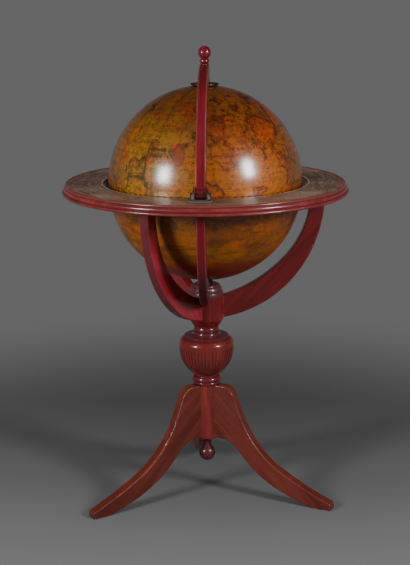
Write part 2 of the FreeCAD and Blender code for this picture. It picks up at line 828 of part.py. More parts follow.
def make_bowl():
    """Lower half: shell, lining, rim hoop with a tan lip, and the block that turns on the pivot bolt."""
    lip_low = centre - rim_lip_height
    hoop_low = lip_low - rim_hoop_height
    bottom = centre - globe_radius - overrun
    hole = rod(pivot_bolt_radius + running_clearance, bottom, centre)
    lip = ball(globe_radius).common(slab(lip_low, centre))
    hoop = ball(inner_radius).common(slab(hoop_low, lip_low))
    rim = lip.fuse(hoop).cut(rod(globe_radius - rim_width, hoop_low - overrun, centre + overrun))
    block_top = centre - lining_radius + pole_block_height
    block = ball(lining_radius).common(rod(pole_block_radius, bottom, block_top))
    return {"bowl_shell": half_shell(globe_radius, inner_radius, bottom, lip_low).cut(hole),
            "bowl_lining": half_shell(inner_radius, lining_radius, bottom, hoop_low).cut(hole),
            "bowl_rim": rim.removeSplitter(), "bowl_pivot_block": block.cut(hole)}


def make_pivot():
    """Upright bolt fixed in the hub. The bowl turns on it between a collar and a washer."""
    collar_high = centre - globe_radius - thrust_gap
    washer_low = centre - lining_radius + pole_block_height + thrust_gap
    washer_high = washer_low + pivot_washer_thickness
    nut_high = washer_high + pivot_nut_height
    return {"pivot_bolt": rod(pivot_bolt_radius, hub_top - pivot_bolt_depth, nut_high + bolt_thread_overhang),
            "pivot_collar": ring_body(pivot_collar_radius, pivot_bolt_radius, hub_top, collar_high),
            "pivot_washer": ring_body(pivot_washer_radius, pivot_bolt_radius, washer_low, washer_high),
            "pivot_nut": hexagon(pivot_nut_radius, washer_high, nut_high, pivot_bolt_radius)}


# Bottle rack

def around(count, first, pitch_radius):
    """Places on a circle, as (x, y) pairs."""
    return [(pitch_radius * math.sin(math.radians(a)), -pitch_radius * math.cos(math.radians(a)))
            for a in azimuths(count, first)]


def make_rack():
    """Deck with bottle and glass holes, on three turned posts over a round floor."""
    floor_low = centre - lining_radius + rack_floor_lift
    floor_high = floor_low + rack_floor_thickness
    deck_low = centre - rack_deck_drop
    deck_high = deck_low + rack_deck_thickness
    floor = ball(lining_radius).common(slab(floor_low, floor_high))
    deck = ball(lining_radius).common(slab(deck_low, deck_high))
    for x, y in around(bottle_count, 0, bottle_pitch_radius):
        deck = deck.cut(rod(bottle_hole_radius, deck_low - overrun, deck_high + overrun, x, y))
    for x, y in around(glass_count, 0, glass_pitch_radius):
        deck = deck.cut(rod(glass_hole_radius, deck_low - overrun, deck_high + overrun, x, y))
    parts = {}
    screws = []
    half_gap = full_turn / bottle_count / 2
    for i, (x, y) in enumerate(around(bottle_count, half_gap, rack_post_pitch_radius)):
        post = rod(rack_post_radius, floor_high, deck_low, x, y)
        upper = countersunk_screw(screw_length)
        upper.translate(vector(x, y, deck_high))
        lower = countersunk_screw(screw_length + rack_floor_thickness)
        lower.rotate(vector(0, 0, 0), vector(1, 0, 0), full_turn / 2)
        lower.translate(vector(x, y, floor_low))
        parts["rack_post_%d" % (i + 1)] = post.cut(upper).cut(lower)
        deck = deck.cut(upper)
        floor = floor.cut(lower)
        screws += [upper, lower]
    parts.update({"rack_floor": floor, "rack_deck": deck, "rack_screws": Part.makeCompound(screws)})
    return parts


def write(parts):
    os.makedirs("parts", exist_ok=True)
    for name, shape in parts.items():
        shape.exportStep("parts/%s.step" % name)


def main():
    parts = {}
    for made in (make_tripod(), make_pendant(), make_column(), make_tie_rod(), make_hub(), make_cradle(),
                 make_pole(), make_hinge(), make_lid(), make_bowl(), make_pivot(), make_rack()):
        parts.update(made)
    parts.update(make_ring(parts["ring_screws"]))
    parts.update(make_meridian(parts["ring_screws"]))
    for screw in base_screws():
        parts["horizon_ring"] = parts["horizon_ring"].cut(screw)
        parts["ring_paper"] = parts["ring_paper"].cut(screw)
    write(parts)


main()
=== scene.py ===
import math

import bmesh
import bpy
from mathutils import Matrix, Vector


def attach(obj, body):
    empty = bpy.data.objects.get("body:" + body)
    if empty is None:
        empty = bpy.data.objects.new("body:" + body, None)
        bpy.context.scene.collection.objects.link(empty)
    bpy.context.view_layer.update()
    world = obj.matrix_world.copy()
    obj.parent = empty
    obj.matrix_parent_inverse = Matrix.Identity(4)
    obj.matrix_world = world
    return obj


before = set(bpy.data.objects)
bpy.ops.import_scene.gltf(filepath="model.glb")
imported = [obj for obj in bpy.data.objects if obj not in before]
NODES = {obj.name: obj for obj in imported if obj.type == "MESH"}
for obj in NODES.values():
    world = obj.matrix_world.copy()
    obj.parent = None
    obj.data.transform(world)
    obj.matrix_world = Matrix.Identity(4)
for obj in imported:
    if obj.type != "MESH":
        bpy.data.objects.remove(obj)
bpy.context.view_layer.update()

MM = 0.001
CENTRE = Vector((0, 0, 0.670))
GLOBE_RADIUS = 0.200


# Sizes in metres and angles in degrees

RING_SEGMENTS = 8
ARC_RADIUS = 0.227
GORES = 12
# heights where a tone changes, some of them the edges of painted shade, highlight and sheen
EAR_FOOT = 0.6785
PLATE_TOP = 0.6774
SHOE_LINE = 0.6912
RIM_TOP_HEIGHT = 0.6690
HUB_TOP = 0.4330
URN_SHOULDER = 0.3405
BEAD_TOP = 0.2625
STRIP_LOW, STRIP_HIGH = 0.490, 0.885
STRIP_LOW_FADE, STRIP_HIGH_FADE = 70 * MM, 35 * MM
# azimuths of the legs and arms from +X, the slopes of their grain, and how far from the axis a leg's wear begins
LEG_AZIMUTHS = [-23.7, 96.3, 216.3]
LEG_SLOPE = 43
LEG_CLEAR = 0.034
ARM_AZIMUTHS = [3.5, 123.5, 243.5]
ARM_SLOPE = -48
# how soon a band of another tone ends at an edge, and a height over the whole part
CRISP = 1 * MM
ABOVE = 1
# outline of a hinge bracket, in millimetres from the plate's middle and top
BRACKET = [(11.4, 0), (19.8, 0), (19.8, 8.3), (18.9, 10.3), (17.0, 11.6), (15.7, 13.2), (15.2, 16.0), (14.7, 19.5),
           (13.6, 22.6), (12.3, 25.0), (11.4, 25.0)]
BRACKET_FACE = -0.2467
BRACKET_DEPTH = 2.1 * MM
BRACKET_BORDER = 1.7 * MM
BRACKET_STEP = 0.3 * MM
BRACKET_SUNK = 0.9 * MM
BRACKET_SOFT = 0.3 * MM


# The map's layout. Azimuth 0 is the hinge side.

MAP_SEED = (4.2, 1.7, 9.3)
# direction and how much more land lies that way
LAND_PUSHES = [((0.62, -0.72, 0.32), 0.10), ((-0.45, 0.85, -0.25), 0.08), ((-0.62, -0.74, 0.26), -0.07)]
WARM_SIDE = (0.50, -0.85, 0.15)
ECLIPTIC_POLE = (0.345, -0.195, 0.918)
MERIDIAN_STEP, PARALLEL_STEP = 15, 10
# latitudes of the double lines, north and south, and those between which the meridians end
CIRCLES = (23.5, 66.5)
MERIDIAN_ENDS = (78, 80)
WATER_STEP = 0.75
DASHES = 90
# latitudes between which a change sets in: the bowl's tone, the dark south, the painted shade of the north and the full
# gloss
BOWL_FADE, SOUTH_FADE, NORTH_FADE, GLOSS_FADE = (-22, -2), (-54, -35), (8, 58), (-35, 0)
# widths of lines, half the gap of a double line, half the width of the equator's scale, and the reach of a seam's shade
GRID_LINE, CIRCLE_LINE, CIRCLE_GAP, ECLIPTIC_LINE = 0.8 * MM, 0.7 * MM, 0.8 * MM, 1.5 * MM
WATER_LINE, SEAM_LINE, SCALE_HALF, SEAM_SHADE = 0.55 * MM, 0.9 * MM, 4.2 * MM, 7 * MM
# depths under the sphere's face between which the print ends
PRINT_DEPTH = (1.0 * MM, 0.6 * MM)
MAP_RELIEF = 0.25 * MM
# azimuth, latitude and size
COMPASSES = [(-33, 31, 0.062), (128, -12, 0.062), (205, 38, 0.055)]
# azimuth, latitude, half the width, half the height and lobes
CARTOUCHES = [(-14, 24, 0.060, 0.115, 9), (150, 30, 0.13, 0.085, 12), (64, -36, 0.12, 0.075, 10),
              (-110, -22, 0.08, 0.12, 10)]


# The ring paper's layout: radii from the inside out

PALE_EDGE = 0.2118
CHEQUER_IN, CHEQUER_OUT = 0.2150, 0.2172
DEGREES_OUT = 0.2205
TENS_OUT = 0.2290
PANEL_IN, PANEL_OUT = 0.2305, 0.2655
LEAF_RADII = (0.2385, 0.248, 0.2575)
VINE_RADIUS, VINE_SWING = 0.248, 7.5 * MM
LOZENGE_IN, LOZENGE_RADIUS, LOZENGE_OUT = 0.2670, 0.2702, 0.2735
BORDER_IN, BORDER_FULL = 0.2745, 0.2765
PANEL_STEP, LEAF_STEP, LOZENGE_STEP = 30, 5, 2
VINE_WAVES = 36
DEGREE_LINE, TENS_LINE, RING_LINE, PANEL_LINE, VINE_LINE = 0.6 * MM, 1.0 * MM, 0.7 * MM, 1.2 * MM, 1.1 * MM
# where the ink of a leaf and of a lozenge fades, from their middles
LEAF_EDGE, LOZENGE_EDGE = (1.6 * MM, 2.3 * MM), (1.4 * MM, 2.0 * MM)
RING_RELIEF = 0.12 * MM


# The lining's layout

LINING_STEP = 7.5
LINING_SEAM = 0.8 * MM
LINING_RELIEF = 0.2 * MM


# Tones, in linear light. Three of a wood are its dark, middle and light grain.

REGION_TONES = [(0.15, (0.53, 0.122, 0.006)), (0.32, (0.44, 0.158, 0.010)), (0.50, (0.50, 0.080, 0.006)),
                (0.68, (0.48, 0.190, 0.014)), (0.85, (0.345, 0.155, 0.010))]
SEA_TONES = [(0.34, (0.245, 0.125, 0.009)), (0.50, (0.375, 0.188, 0.014)), (0.66, (0.290, 0.160, 0.013))]
BORDER_WASH = (0.085, 0.062, 0.008)
SHELF_TONE = (0.33, 0.145, 0.012)
BLUSH = (0.52, 0.092, 0.006)
GLOW = (0.58, 0.135, 0.006)
# painted shade on the sphere's sides at plus and minus X
SIDE_SHADE = (0.150, 0.045, 0.004)
SPOT_TONE = (0.56, 0.070, 0.005)
SEPIA = (0.030, 0.010, 0.003)
RED_INK = (0.17, 0.014, 0.006)
STAIN = (0.100, 0.026, 0.004)
CARTOUCHE_TONE = (0.27, 0.065, 0.018)
BOWL_TONE = (0.200, 0.058, 0.005)
BOWL_PATCH = (0.400, 0.092, 0.005)
SOUTH_TONE = (0.230, 0.017, 0.003)
# painted shade, multiplied in towards the north
NORTH_SHADE = (0.47, 0.30, 0.42)
RING_TONES = [(0.36, (0.078, 0.044, 0.033)), (0.50, (0.145, 0.082, 0.056)), (0.62, (0.220, 0.148, 0.100))]
RING_BORDER = (0.165, 0.042, 0.028)
RING_INK = (0.045, 0.024, 0.017)
RING_RUBBED = (0.27, 0.185, 0.130)
RING_PALE = (0.42, 0.30, 0.20)
LINING_TONES = [(0.34, (0.40, 0.27, 0.13)), (0.50, (0.52, 0.37, 0.19)), (0.66, (0.60, 0.45, 0.25))]
LINING_INK = (0.24, 0.10, 0.045)
PLATE_TONE = (0.115, 0.110, 0.105)
# the next two: a painted highlight on the upper front of the hinge leaf, and tarnish that is also painted shade on the
# leaf's lower front
PLATE_EDGE_HIGHLIGHT = (0.22, 0.140, 0.142)
PLATE_DIRT_AND_SHADE = (0.060, 0.036, 0.030)
EAR_TONE = (0.060, 0.032, 0.018)
BRACKET_TONE = (0.024, 0.012, 0.008)
PANEL_TONE = (0.36, 0.22, 0.15)
BRASS = (0.62, 0.42, 0.17)
BRASS_DIRT = (0.10, 0.055, 0.025)
STEEL = (0.60, 0.59, 0.58)
STEEL_DIRT = (0.20, 0.17, 0.15)
DARK_BRASS = (0.140, 0.060, 0.038)
DARK_BRASS_DIRT = (0.045, 0.016, 0.012)
SHOE_TONES = [(0.030, 0.006, 0.006), (0.075, 0.012, 0.011), (0.130, 0.022, 0.020)]
RED_TONES = [(0.085, 0.006, 0.007), (0.180, 0.013, 0.013), (0.270, 0.026, 0.022)]
# painted sheen: a mauve tone for the reflection on the hub's dome
DOME_SHEEN = (0.088, 0.030, 0.033)
FINIAL_TONES = [(0.085, 0.004, 0.009), (0.165, 0.009, 0.017), (0.240, 0.018, 0.026)]
RIM_TONES = [(0.100, 0.010, 0.011), (0.190, 0.021, 0.022), (0.270, 0.040, 0.038)]
RIM_TOP = (0.150, 0.036, 0.026)
# painted light: a paler tone in the rim's grooves that evens out their shade
RIM_GROOVE_LIGHT = (0.34, 0.062, 0.058)
URN_TONES = [(0.130, 0.014, 0.012), (0.168, 0.018, 0.015), (0.205, 0.025, 0.020)]
SHOULDER_TONE = (0.080, 0.013, 0.015)
BEAD_TONE = (0.105, 0.012, 0.016)
PENDANT_TONES = [(0.060, 0.012, 0.012), (0.105, 0.021, 0.020), (0.160, 0.034, 0.030)]
ARM_TONES = [(0.112, 0.008, 0.009), (0.162, 0.011, 0.012), (0.215, 0.018, 0.017)]
# painted light on the arms' curved faces: a purple painted sheen on the under faces, brighter painted red on the upper
# faces
ARM_UNDER_SHEEN = (0.100, 0.018, 0.023)
ARM_UPPER_LIGHT = (0.340, 0.020, 0.028)
# painted light: factors on each arm's tones, brightening the shaded back-left and front-left arms
ARM_LIGHT_FACTORS = [(1.0, 1.0, 1.0), (1.3, 1.3, 1.3), (1.85, 1.75, 2.6)]
STRIP_TONES = [(0.085, 0.003, 0.006), (0.155, 0.005, 0.010), (0.220, 0.009, 0.015)]
STRIP_EDGE = (0.36, 0.115, 0.095)
# painted shade: the lower strip darker under the sphere, and the upper arm darker at its top
STRIP_LOW_SHADE = (0.052, 0.003, 0.010)
STRIP_TOP_SHADE = (0.070, 0.006, 0.006)
BASE_TONES = [(0.080, 0.013, 0.009), (0.132, 0.022, 0.014), (0.195, 0.036, 0.023)]
POST_TONES = [(0.090, 0.010, 0.009), (0.185, 0.022, 0.018), (0.270, 0.045, 0.034)]
WORN_RED = (0.42, 0.17, 0.12)
WORN_BASE = (0.50, 0.25, 0.16)
WORN_BEECH = (0.7, 0.5, 0.3)
TAN_TONES = [(0.30, 0.17, 0.085), (0.46, 0.29, 0.155), (0.58, 0.40, 0.23)]
RACK_TONES = [(0.075, 0.022, 0.010), (0.150, 0.050, 0.024), (0.230, 0.085, 0.040)]
BEECH_TONES = [(0.40, 0.25, 0.13), (0.55, 0.37, 0.20), (0.64, 0.46, 0.27)]


# Camera, at the photograph's place. Its angles are in radians, its lens and sensor in millimetres.

CAMERA_AZIMUTH = math.radians(2.2)
CAMERA_PITCH = 0.2382
CAMERA_ROLL = -0.007
CAMERA_YAW = 0.0008
CAMERA_DISTANCE = 2.7
CAMERA_RISE = 0.4443
CLIP_NEAR, CLIP_FAR = 0.05, 60
LENS = 84.4
SENSOR = 36.0


def add_object(name, data):
    made = bpy.data.objects.new(name, data)
    bpy.context.scene.collection.objects.link(made)
    return made


def make_camera():
    data = bpy.data.cameras.new("camera")
    data.lens, data.sensor_width, data.sensor_fit = LENS, SENSOR, "AUTO"
    data.clip_start, data.clip_end = CLIP_NEAR, CLIP_FAR
    camera = add_object("camera", data)
    camera.location = (CAMERA_DISTANCE * math.sin(CAMERA_AZIMUTH), -CAMERA_DISTANCE * math.cos(CAMERA_AZIMUTH),
                       CENTRE.z + CAMERA_RISE)
    turn = (Matrix.Rotation(CAMERA_AZIMUTH + CAMERA_YAW, 3, "Z")
            @ Matrix.Rotation(math.pi / 2 - CAMERA_PITCH, 3, "X")
            @ Matrix.Rotation(CAMERA_ROLL, 3, "Z"))
    camera.rotation_mode = "QUATERNION"
    camera.rotation_quaternion = turn.to_quaternion()
    bpy.context.scene.camera = camera


# Floor, world and lamps

WALL_COLOUR = (0.134, 0.134, 0.135)
FILL_COLOUR = (0.27, 0.27, 0.275)
CEILING_COLOUR = (0.022, 0.022, 0.024)
WALL_FADE = (0.03, 0.45)
FLOOR_RADIUS = 14
FLOOR_SIDES = 96
FLOOR_HEIGHT = -0.0002
FLOOR_FRONT, FLOOR_BACK = -0.4, 0.6
FLOOR_FADE = (0.50, 1.50)
# painted shade: the floor's grey from its front to its back
FLOOR_SHADING = [(0.04, (0.158, 0.158, 0.159)), (0.24, (0.139, 0.139, 0.140)), (0.42, (0.119, 0.119, 0.120)),
               (0.60, (0.108, 0.108, 0.109)), (0.72, (0.096, 0.096, 0.097)), (0.86, (0.085, 0.085, 0.086)),
               (1.0, (0.071, 0.071, 0.072))]
# name, azimuth from the hinge side, elevation, distance, width, height and power
LAMPS = [("left_box", -46.5, 14.7, 2.6, 0.51, 0.67, 51), ("right_box", 54.5, 20.0, 2.6, 0.44, 0.67, 54),
         ("top_box", -10, 62, 2.4, 1.8, 1.8, 13)]


def toward(azimuth, elevation):
    """The direction at an azimuth from the hinge side and a height over the horizon, both in degrees."""
    a, e = math.radians(azimuth), math.radians(elevation)
    return Vector((math.sin(a) * math.cos(e), -math.cos(a) * math.cos(e), math.sin(e)))


def make_floor():
    """A grey floor, with painted shade darkening it towards the back, that the camera sees fade into the wall."""
    mesh = bpy.data.meshes.new("floor")
    form = bmesh.new()
    bmesh.ops.create_circle(form, cap_ends=True, segments=FLOOR_SIDES, radius=FLOOR_RADIUS)
    form.to_mesh(mesh)
    form.free()
    floor = add_object("floor", mesh)
    floor.location.z = FLOOR_HEIGHT
    g = Graph("floor_paint")
    depth = g.math("DIVIDE", g.math("SUBTRACT", g.parts(g.object_place())[1], FLOOR_FRONT), FLOOR_BACK - FLOOR_FRONT)
    speck = g.times(g.math("SUBTRACT", g.noise(g.object_place(), 4.2, 3), 0.5), 0.12)
    tone = g.ramp(g.math("ADD", depth, speck), FLOOR_SHADING)
    g.finish(tone, roughness=0.9, specular=0.1)
    away = g.vector("LENGTH", g.object_place())
    glow = g.node("ShaderNodeEmission")
    g.put(glow.inputs["Color"], WALL_COLOUR)
    blend = g.node("ShaderNodeMixShader")
    output = g.nodes["Material Output"]
    lit = output.inputs[0].links[0].from_socket
    for socket, value in ((blend.inputs[0], g.times(g.seen(), g.step(away, *FLOOR_FADE))), (blend.inputs[1], lit),
                          (blend.inputs[2], glow.outputs[0]), (output.inputs[0], blend.outputs[0])):
        g.put(socket, value)
    mesh.materials.append(g.material)


def make_world():
    """A studio that the camera sees as a grey wall under a dark ceiling, and that lights evenly."""
    world = bpy.data.worlds.new("studio")
    bpy.context.scene.world = world
    g = Graph("studio", world)
    rise = g.parts(g.node("ShaderNodeTexCoord").outputs["Generated"])[2]
    wall = g.mix(g.step(rise, *WALL_FADE), WALL_COLOUR, CEILING_COLOUR)
    background = g.node("ShaderNodeBackground")
    g.put(background.inputs["Color"], g.mix(g.seen(), FILL_COLOUR, wall))
    g.links.new(background.outputs[0], g.node("ShaderNodeOutputWorld").inputs["Surface"])


def make_lamps():
    """Two soft boxes, whose reflections show on the sphere, and a broad one above, whose don't."""
    for name, azimuth, elevation, distance, width, height, power in LAMPS:
        lamp = bpy.data.lights.new(name, "AREA")
        lamp.shape, lamp.size, lamp.size_y, lamp.energy = "RECTANGLE", width, height, power
        holder = add_object(name, lamp)
        direction = toward(azimuth, elevation)
        holder.location = CENTRE + direction * distance
        holder.rotation_mode = "QUATERNION"
        holder.rotation_quaternion = direction.to_track_quat("Z", "Y")
        holder.visible_glossy = name != "top_box"


# Material graphs

class Graph:
    """A material and short calls that add its nodes. A value may be a number, a tuple or another node's socket."""

    def __init__(self, name, owner=None):
        self.material = owner or bpy.data.materials.new(name)
        self.material.use_nodes = True
        self.nodes = self.material.node_tree.nodes
        self.links = self.material.node_tree.links
        self.nodes.clear()

    def put(self, socket, value):
        if isinstance(value, bpy.types.NodeSocket):
            self.links.new(value, socket)
        elif value is not None:
            size = len(socket.default_value) if hasattr(socket.default_value, "__len__") else 0
            if size == 4 and len(value) == 3:
                value = (*value, 1)
            socket.default_value = value

    def node(self, kind, **settings):
        made = self.nodes.new(kind)
        for key, value in settings.items():
            setattr(made, key, value)
        return made

    def math(self, operation, a, b=None, clamp=False):
        made = self.node("ShaderNodeMath", operation=operation, use_clamp=clamp)
        for socket, value in zip(made.inputs, (a, b)):
            self.put(socket, value)
        return made.outputs[0]

    def vector(self, operation, a, b=None):
        made = self.node("ShaderNodeVectorMath", operation=operation)
        self.put(made.inputs[0], a)
        self.put(made.inputs[1], b)
        scalar = operation in ("LENGTH", "DOT_PRODUCT", "DISTANCE")
        return made.outputs["Value" if scalar else "Vector"]

    def scaled(self, a, factor):
        made = self.node("ShaderNodeVectorMath", operation="SCALE")
        self.put(made.inputs[0], a)
        self.put(made.inputs["Scale"], factor)
        return made.outputs["Vector"]

    def seen(self):
        """1 on rays by which the camera sees a background, straight or through gloss or glass."""
        path = self.node("ShaderNodeLightPath").outputs
        return self.most(path["Is Camera Ray"], path["Is Glossy Ray"], path["Is Transmission Ray"])

    def object_place(self):
        return self.node("ShaderNodeTexCoord").outputs["Object"]

    def parts(self, vector):
        made = self.node("ShaderNodeSeparateXYZ")
        self.put(made.inputs[0], vector)
        return made.outputs[0], made.outputs[1], made.outputs[2]

    def join(self, x, y, z):
        made = self.node("ShaderNodeCombineXYZ")
        for socket, value in zip(made.inputs, (x, y, z)):
            self.put(socket, value)
        return made.outputs[0]

    def turned(self, vector, angles):
        made = self.node("ShaderNodeVectorRotate", rotation_type="EULER_XYZ")
        self.put(made.inputs["Vector"], vector)
        made.inputs["Rotation"].default_value = angles
        return made.outputs[0]

    def noise(self, vector, scale, detail=2, roughness=0.5, distortion=0, colour=False):
        made = self.node("ShaderNodeTexNoise")
        for key, value in (("Vector", vector), ("Scale", scale), ("Detail", detail), ("Roughness", roughness),
                           ("Distortion", distortion)):
            self.put(made.inputs[key], value)
        return made.outputs["Color" if colour else "Fac"]

    def cells(self, vector, scale, feature="F1", randomness=1):
        made = self.node("ShaderNodeTexVoronoi", feature=feature)
        for key, value in (("Vector", vector), ("Scale", scale), ("Randomness", randomness)):
            self.put(made.inputs[key], value)
        return made.outputs

    def ramp(self, value, stops):
        made = self.node("ShaderNodeValToRGB")
        band = made.color_ramp
        while len(band.elements) < len(stops):
            band.elements.new(1)
        for element, (place, tone) in zip(band.elements, stops):
            element.position = place
            element.color = (*tone, 1)
        self.put(made.inputs[0], value)
        return made.outputs["Color"]

    def step(self, value, low, high, to_low=0.0, to_high=1.0):
        """Smooth step of value, from to_low below low to to_high above high."""
        made = self.node("ShaderNodeMapRange", interpolation_type="SMOOTHSTEP")
        for key, item in (("Value", value), ("From Min", low), ("From Max", high), ("To Min", to_low),
                          ("To Max", to_high)):
            self.put(made.inputs[key], item)
        return made.outputs[0]

    def mix(self, factor, a, b, blend="MIX"):
        made = self.node("ShaderNodeMix", data_type="RGBA", blend_type=blend)
        for socket, value in ((made.inputs[0], factor), (made.inputs[6], a), (made.inputs[7], b)):
            self.put(socket, value)
        return made.outputs[2]

    def most(self, *values):
        found = values[0]
        for value in values[1:]:
            found = self.math("MAXIMUM", found, value)
        return found

    def times(self, *values):
        found = values[0]
        for value in values[1:]:
            found = self.math("MULTIPLY", found, value)
        return found

    def inverse(self, value):
        return self.math("SUBTRACT", 1.0, value)

    def gap(self, a, b):
        """How far apart two numbers are."""
        return self.math("ABSOLUTE", self.math("SUBTRACT", a, b))

    def flat_length(self, x, y):
        return self.vector("LENGTH", self.join(x, y, 0.0))

    def arris(self, reach):
        """1 near a convex edge of the piece and 0 away from one."""
        made = self.node("ShaderNodeAmbientOcclusion", samples=4, inside=True, only_local=True)
        made.inputs["Distance"].default_value = reach
        return self.inverse(made.outputs["AO"])

    def hollow(self, reach):
        """1 deep in a groove or corner and 0 in the open."""
        made = self.node("ShaderNodeAmbientOcclusion", samples=4)
        made.inputs["Distance"].default_value = reach
        return self.inverse(made.outputs["AO"])

    def bump(self, height, depth, strength):
        made = self.node("ShaderNodeBump")
        made.inputs["Strength"].default_value = strength
        made.inputs["Distance"].default_value = depth
        self.put(made.inputs["Height"], height)
        return made.outputs[0]

    def finish(self, colour, roughness=0.5, metallic=0.0, normal=None, coat=0.0, coat_roughness=0.1, specular=0.2,
               coat_index=1.5):
        shader = self.node("ShaderNodeBsdfPrincipled")
        for key, value in (("Base Color", colour), ("Roughness", roughness), ("Metallic", metallic),
                           ("Normal", normal), ("Coat Weight", coat), ("Coat Roughness", coat_roughness),
                           ("Coat IOR", coat_index), ("Specular IOR Level", specular)):
            self.put(shader.inputs[key], value)
        output = self.node("ShaderNodeOutputMaterial")
        self.links.new(shader.outputs[0], output.inputs[0])
        return self.material


def paint(material, *names):
    """Gives CAD nodes one material, on every slot."""
    for name in names:
        mesh = NODES[name].data
        if not mesh.materials:
            mesh.materials.append(material)
        for index in range(len(mesh.materials)):
            mesh.materials[index] = material


# Wood. Each grain function gives a place whose first part runs along the grain, and each stretch is a noise's scale
# along the grain and across it.

FIBRE = (7, 170, 170)
FIGURE = (2.5, 34, 34)
PORE = (55, 1300, 1300)
KNOCK = (60, 240, 240)
# reach of rubbed arrises, of the painted shade in hollows, of the shelter from wear and of the fade at a clear radius
ARRIS_REACH, HOLLOW_SHADING_REACH, SHELTER_REACH, CLEAR_FADE = 3.5 * MM, 9 * MM, 22 * MM, 6 * MM
WOOD_RELIEF = 0.35 * MM


def grain_upright(g):
    x, y, z = g.parts(g.object_place())
    return g.join(z, x, y)


def grain_board(azimuth, slope):
    """Straight grain in an upright board that stands at an azimuth and runs down at a slope, both in degrees."""
    def place(g):
        flat = g.turned(g.object_place(), (0, 0, -math.radians(azimuth)))
        return g.turned(flat, (0, -math.radians(slope), 0))
    return place


def grain_segments(g):
    """Eight glued segments of a ring, each with its grain along its own chord."""
    x, y, _ = g.parts(g.object_place())
    step = math.tau / RING_SEGMENTS
    sector = g.math("FLOOR", g.math("DIVIDE", g.math("ARCTAN2", y, x), step))
    made = g.node("ShaderNodeVectorRotate", rotation_type="Z_AXIS")
    g.put(made.inputs["Vector"], g.object_place())
    g.put(made.inputs["Angle"], g.times(g.math("ADD", sector, 0.5), -step))
    radial, along, z = g.parts(made.outputs[0])
    return g.join(g.math("ADD", along, g.times(sector, 1.7)), radial, z)


def grain_arc(g):
    """Grain that follows a strip bent round the sphere's centre in the YZ plane."""
    x, y, z = g.parts(g.vector("SUBTRACT", g.object_place(), tuple(CENTRE)))
    away = g.vector("LENGTH", g.join(0.0, y, z))
    return g.join(g.times(g.math("ARCTAN2", z, y), ARC_RADIUS), away, x)


def wood(name, place, tones, worn, roughness=0.42, coat=0.5, coat_roughness=0.16, wear=0.5, hollow_shading=0.75,
         hollow_shading_tone=None, edge=None, bent_face_light=None, bands=(), clear=None):
    """Stained and lacquered hardwood: grain, pores, clouding, rubbed arrises and painted shade in the hollows, whose
    tone may be given instead. edge tints every arris; a bent board's under and upper sides can be given painted light;
    bands tint all between two heights. No arris is rubbed nearer than clear to the stand's axis."""
    g = Graph(name)
    grain = place(g)
    fine = g.noise(g.vector("MULTIPLY", grain, FIBRE), 1, 6, 0.62)
    broad = g.noise(g.vector("MULTIPLY", grain, FIGURE), 1, 3, 0.5, 0.8)
    pores = g.noise(g.vector("MULTIPLY", grain, PORE), 1, 1)
    cloud = g.noise(g.object_place(), 9, 3, 0.6)
    value = g.math("ADD", g.times(fine, 0.5), g.times(broad, 0.5))
    dark, middle, light = tones
    colour = g.ramp(value, [(0.36, dark), (0.5, middle), (0.64, light)])
    colour = g.mix(g.step(pores, 0.60, 0.72, 0, 0.55), colour, tuple(0.35 * c for c in dark))
    colour = g.mix(g.step(cloud, 0.35, 0.62, 0.35, 0), colour, dark)
    x, y, z = g.parts(g.object_place())
    # painted light on a bent board's curved faces: a painted sheen below and brighter painted red above
    if bent_face_light:
        direction, under, upper = bent_face_light
        outward = g.node("ShaderNodeNewGeometry").outputs["True Normal"]
        facing = g.vector("DOT_PRODUCT", outward, direction)
        tone = g.mix(g.step(g.parts(outward)[2], -0.05, 0.05), under, upper)
        colour = g.mix(g.step(g.math("ABSOLUTE", facing), 0.25, 0.55, 0.8, 0), colour, tone)
    for low, high, fade, tone in bands:
        inside = g.times(g.step(z, low - fade, low), g.step(z, high, high + fade, 1, 0))
        colour = g.mix(g.times(inside, 0.8), colour, tone)
    hollow_colour = hollow_shading_tone or tuple(0.3 * c for c in dark)
    # painted shade: darker in hollows and grooves by ambient occlusion, in the given tone where there is one
    colour = g.mix(g.step(g.hollow(HOLLOW_SHADING_REACH), 0.35, 0.85, 0, hollow_shading), colour, hollow_colour)
    patch = g.noise(g.object_place(), 55, 4, 0.65)
    arris = g.arris(ARRIS_REACH)
    if edge:
        colour = g.mix(g.step(arris, 0.10, 0.40, 0, 0.65), colour, edge)
    rubbed = g.times(g.step(arris, 0.22, 0.5), g.step(patch, 0.62 - 0.3 * wear, 0.80 - 0.3 * wear),
                     g.step(g.hollow(SHELTER_REACH), 0.30, 0.60, 1, 0))
    if clear:
        rubbed = g.times(rubbed, g.step(g.flat_length(x, y), clear, clear + CLEAR_FADE))
    colour = g.mix(g.times(rubbed, 0.85), colour, worn)
    knock = g.noise(g.vector("MULTIPLY", grain, KNOCK), 1, 3, 0.7)
    knock = g.times(g.step(knock, 0.70, 0.76), wear)
    colour = g.mix(g.times(knock, 0.6), colour, worn)
    rough = g.math("ADD", g.times(cloud, 0.22), roughness - 0.11)
    rough = g.math("ADD", rough, g.times(rubbed, 0.2), clamp=True)
    height = g.math("ADD", g.times(fine, 0.5), g.times(pores, -0.35))
    normal = g.bump(height, WOOD_RELIEF, 0.35)
    return g.finish(colour, rough, 0, normal, coat, coat_roughness)


# Metal. Reach of its dirt and rubbed edges, and depths under the hinge plate's top where its painted edge highlight and
# face begin

METAL_DIRT_REACH, METAL_RUB_REACH, HINGE_DIRT_REACH = 4 * MM, 1.2 * MM, 5 * MM
METAL_RELIEF = 0.06 * MM
EDGE_FADE, FACE_FADE = (2.6 * MM, 1.8 * MM), (0.5 * MM, 0.2 * MM)


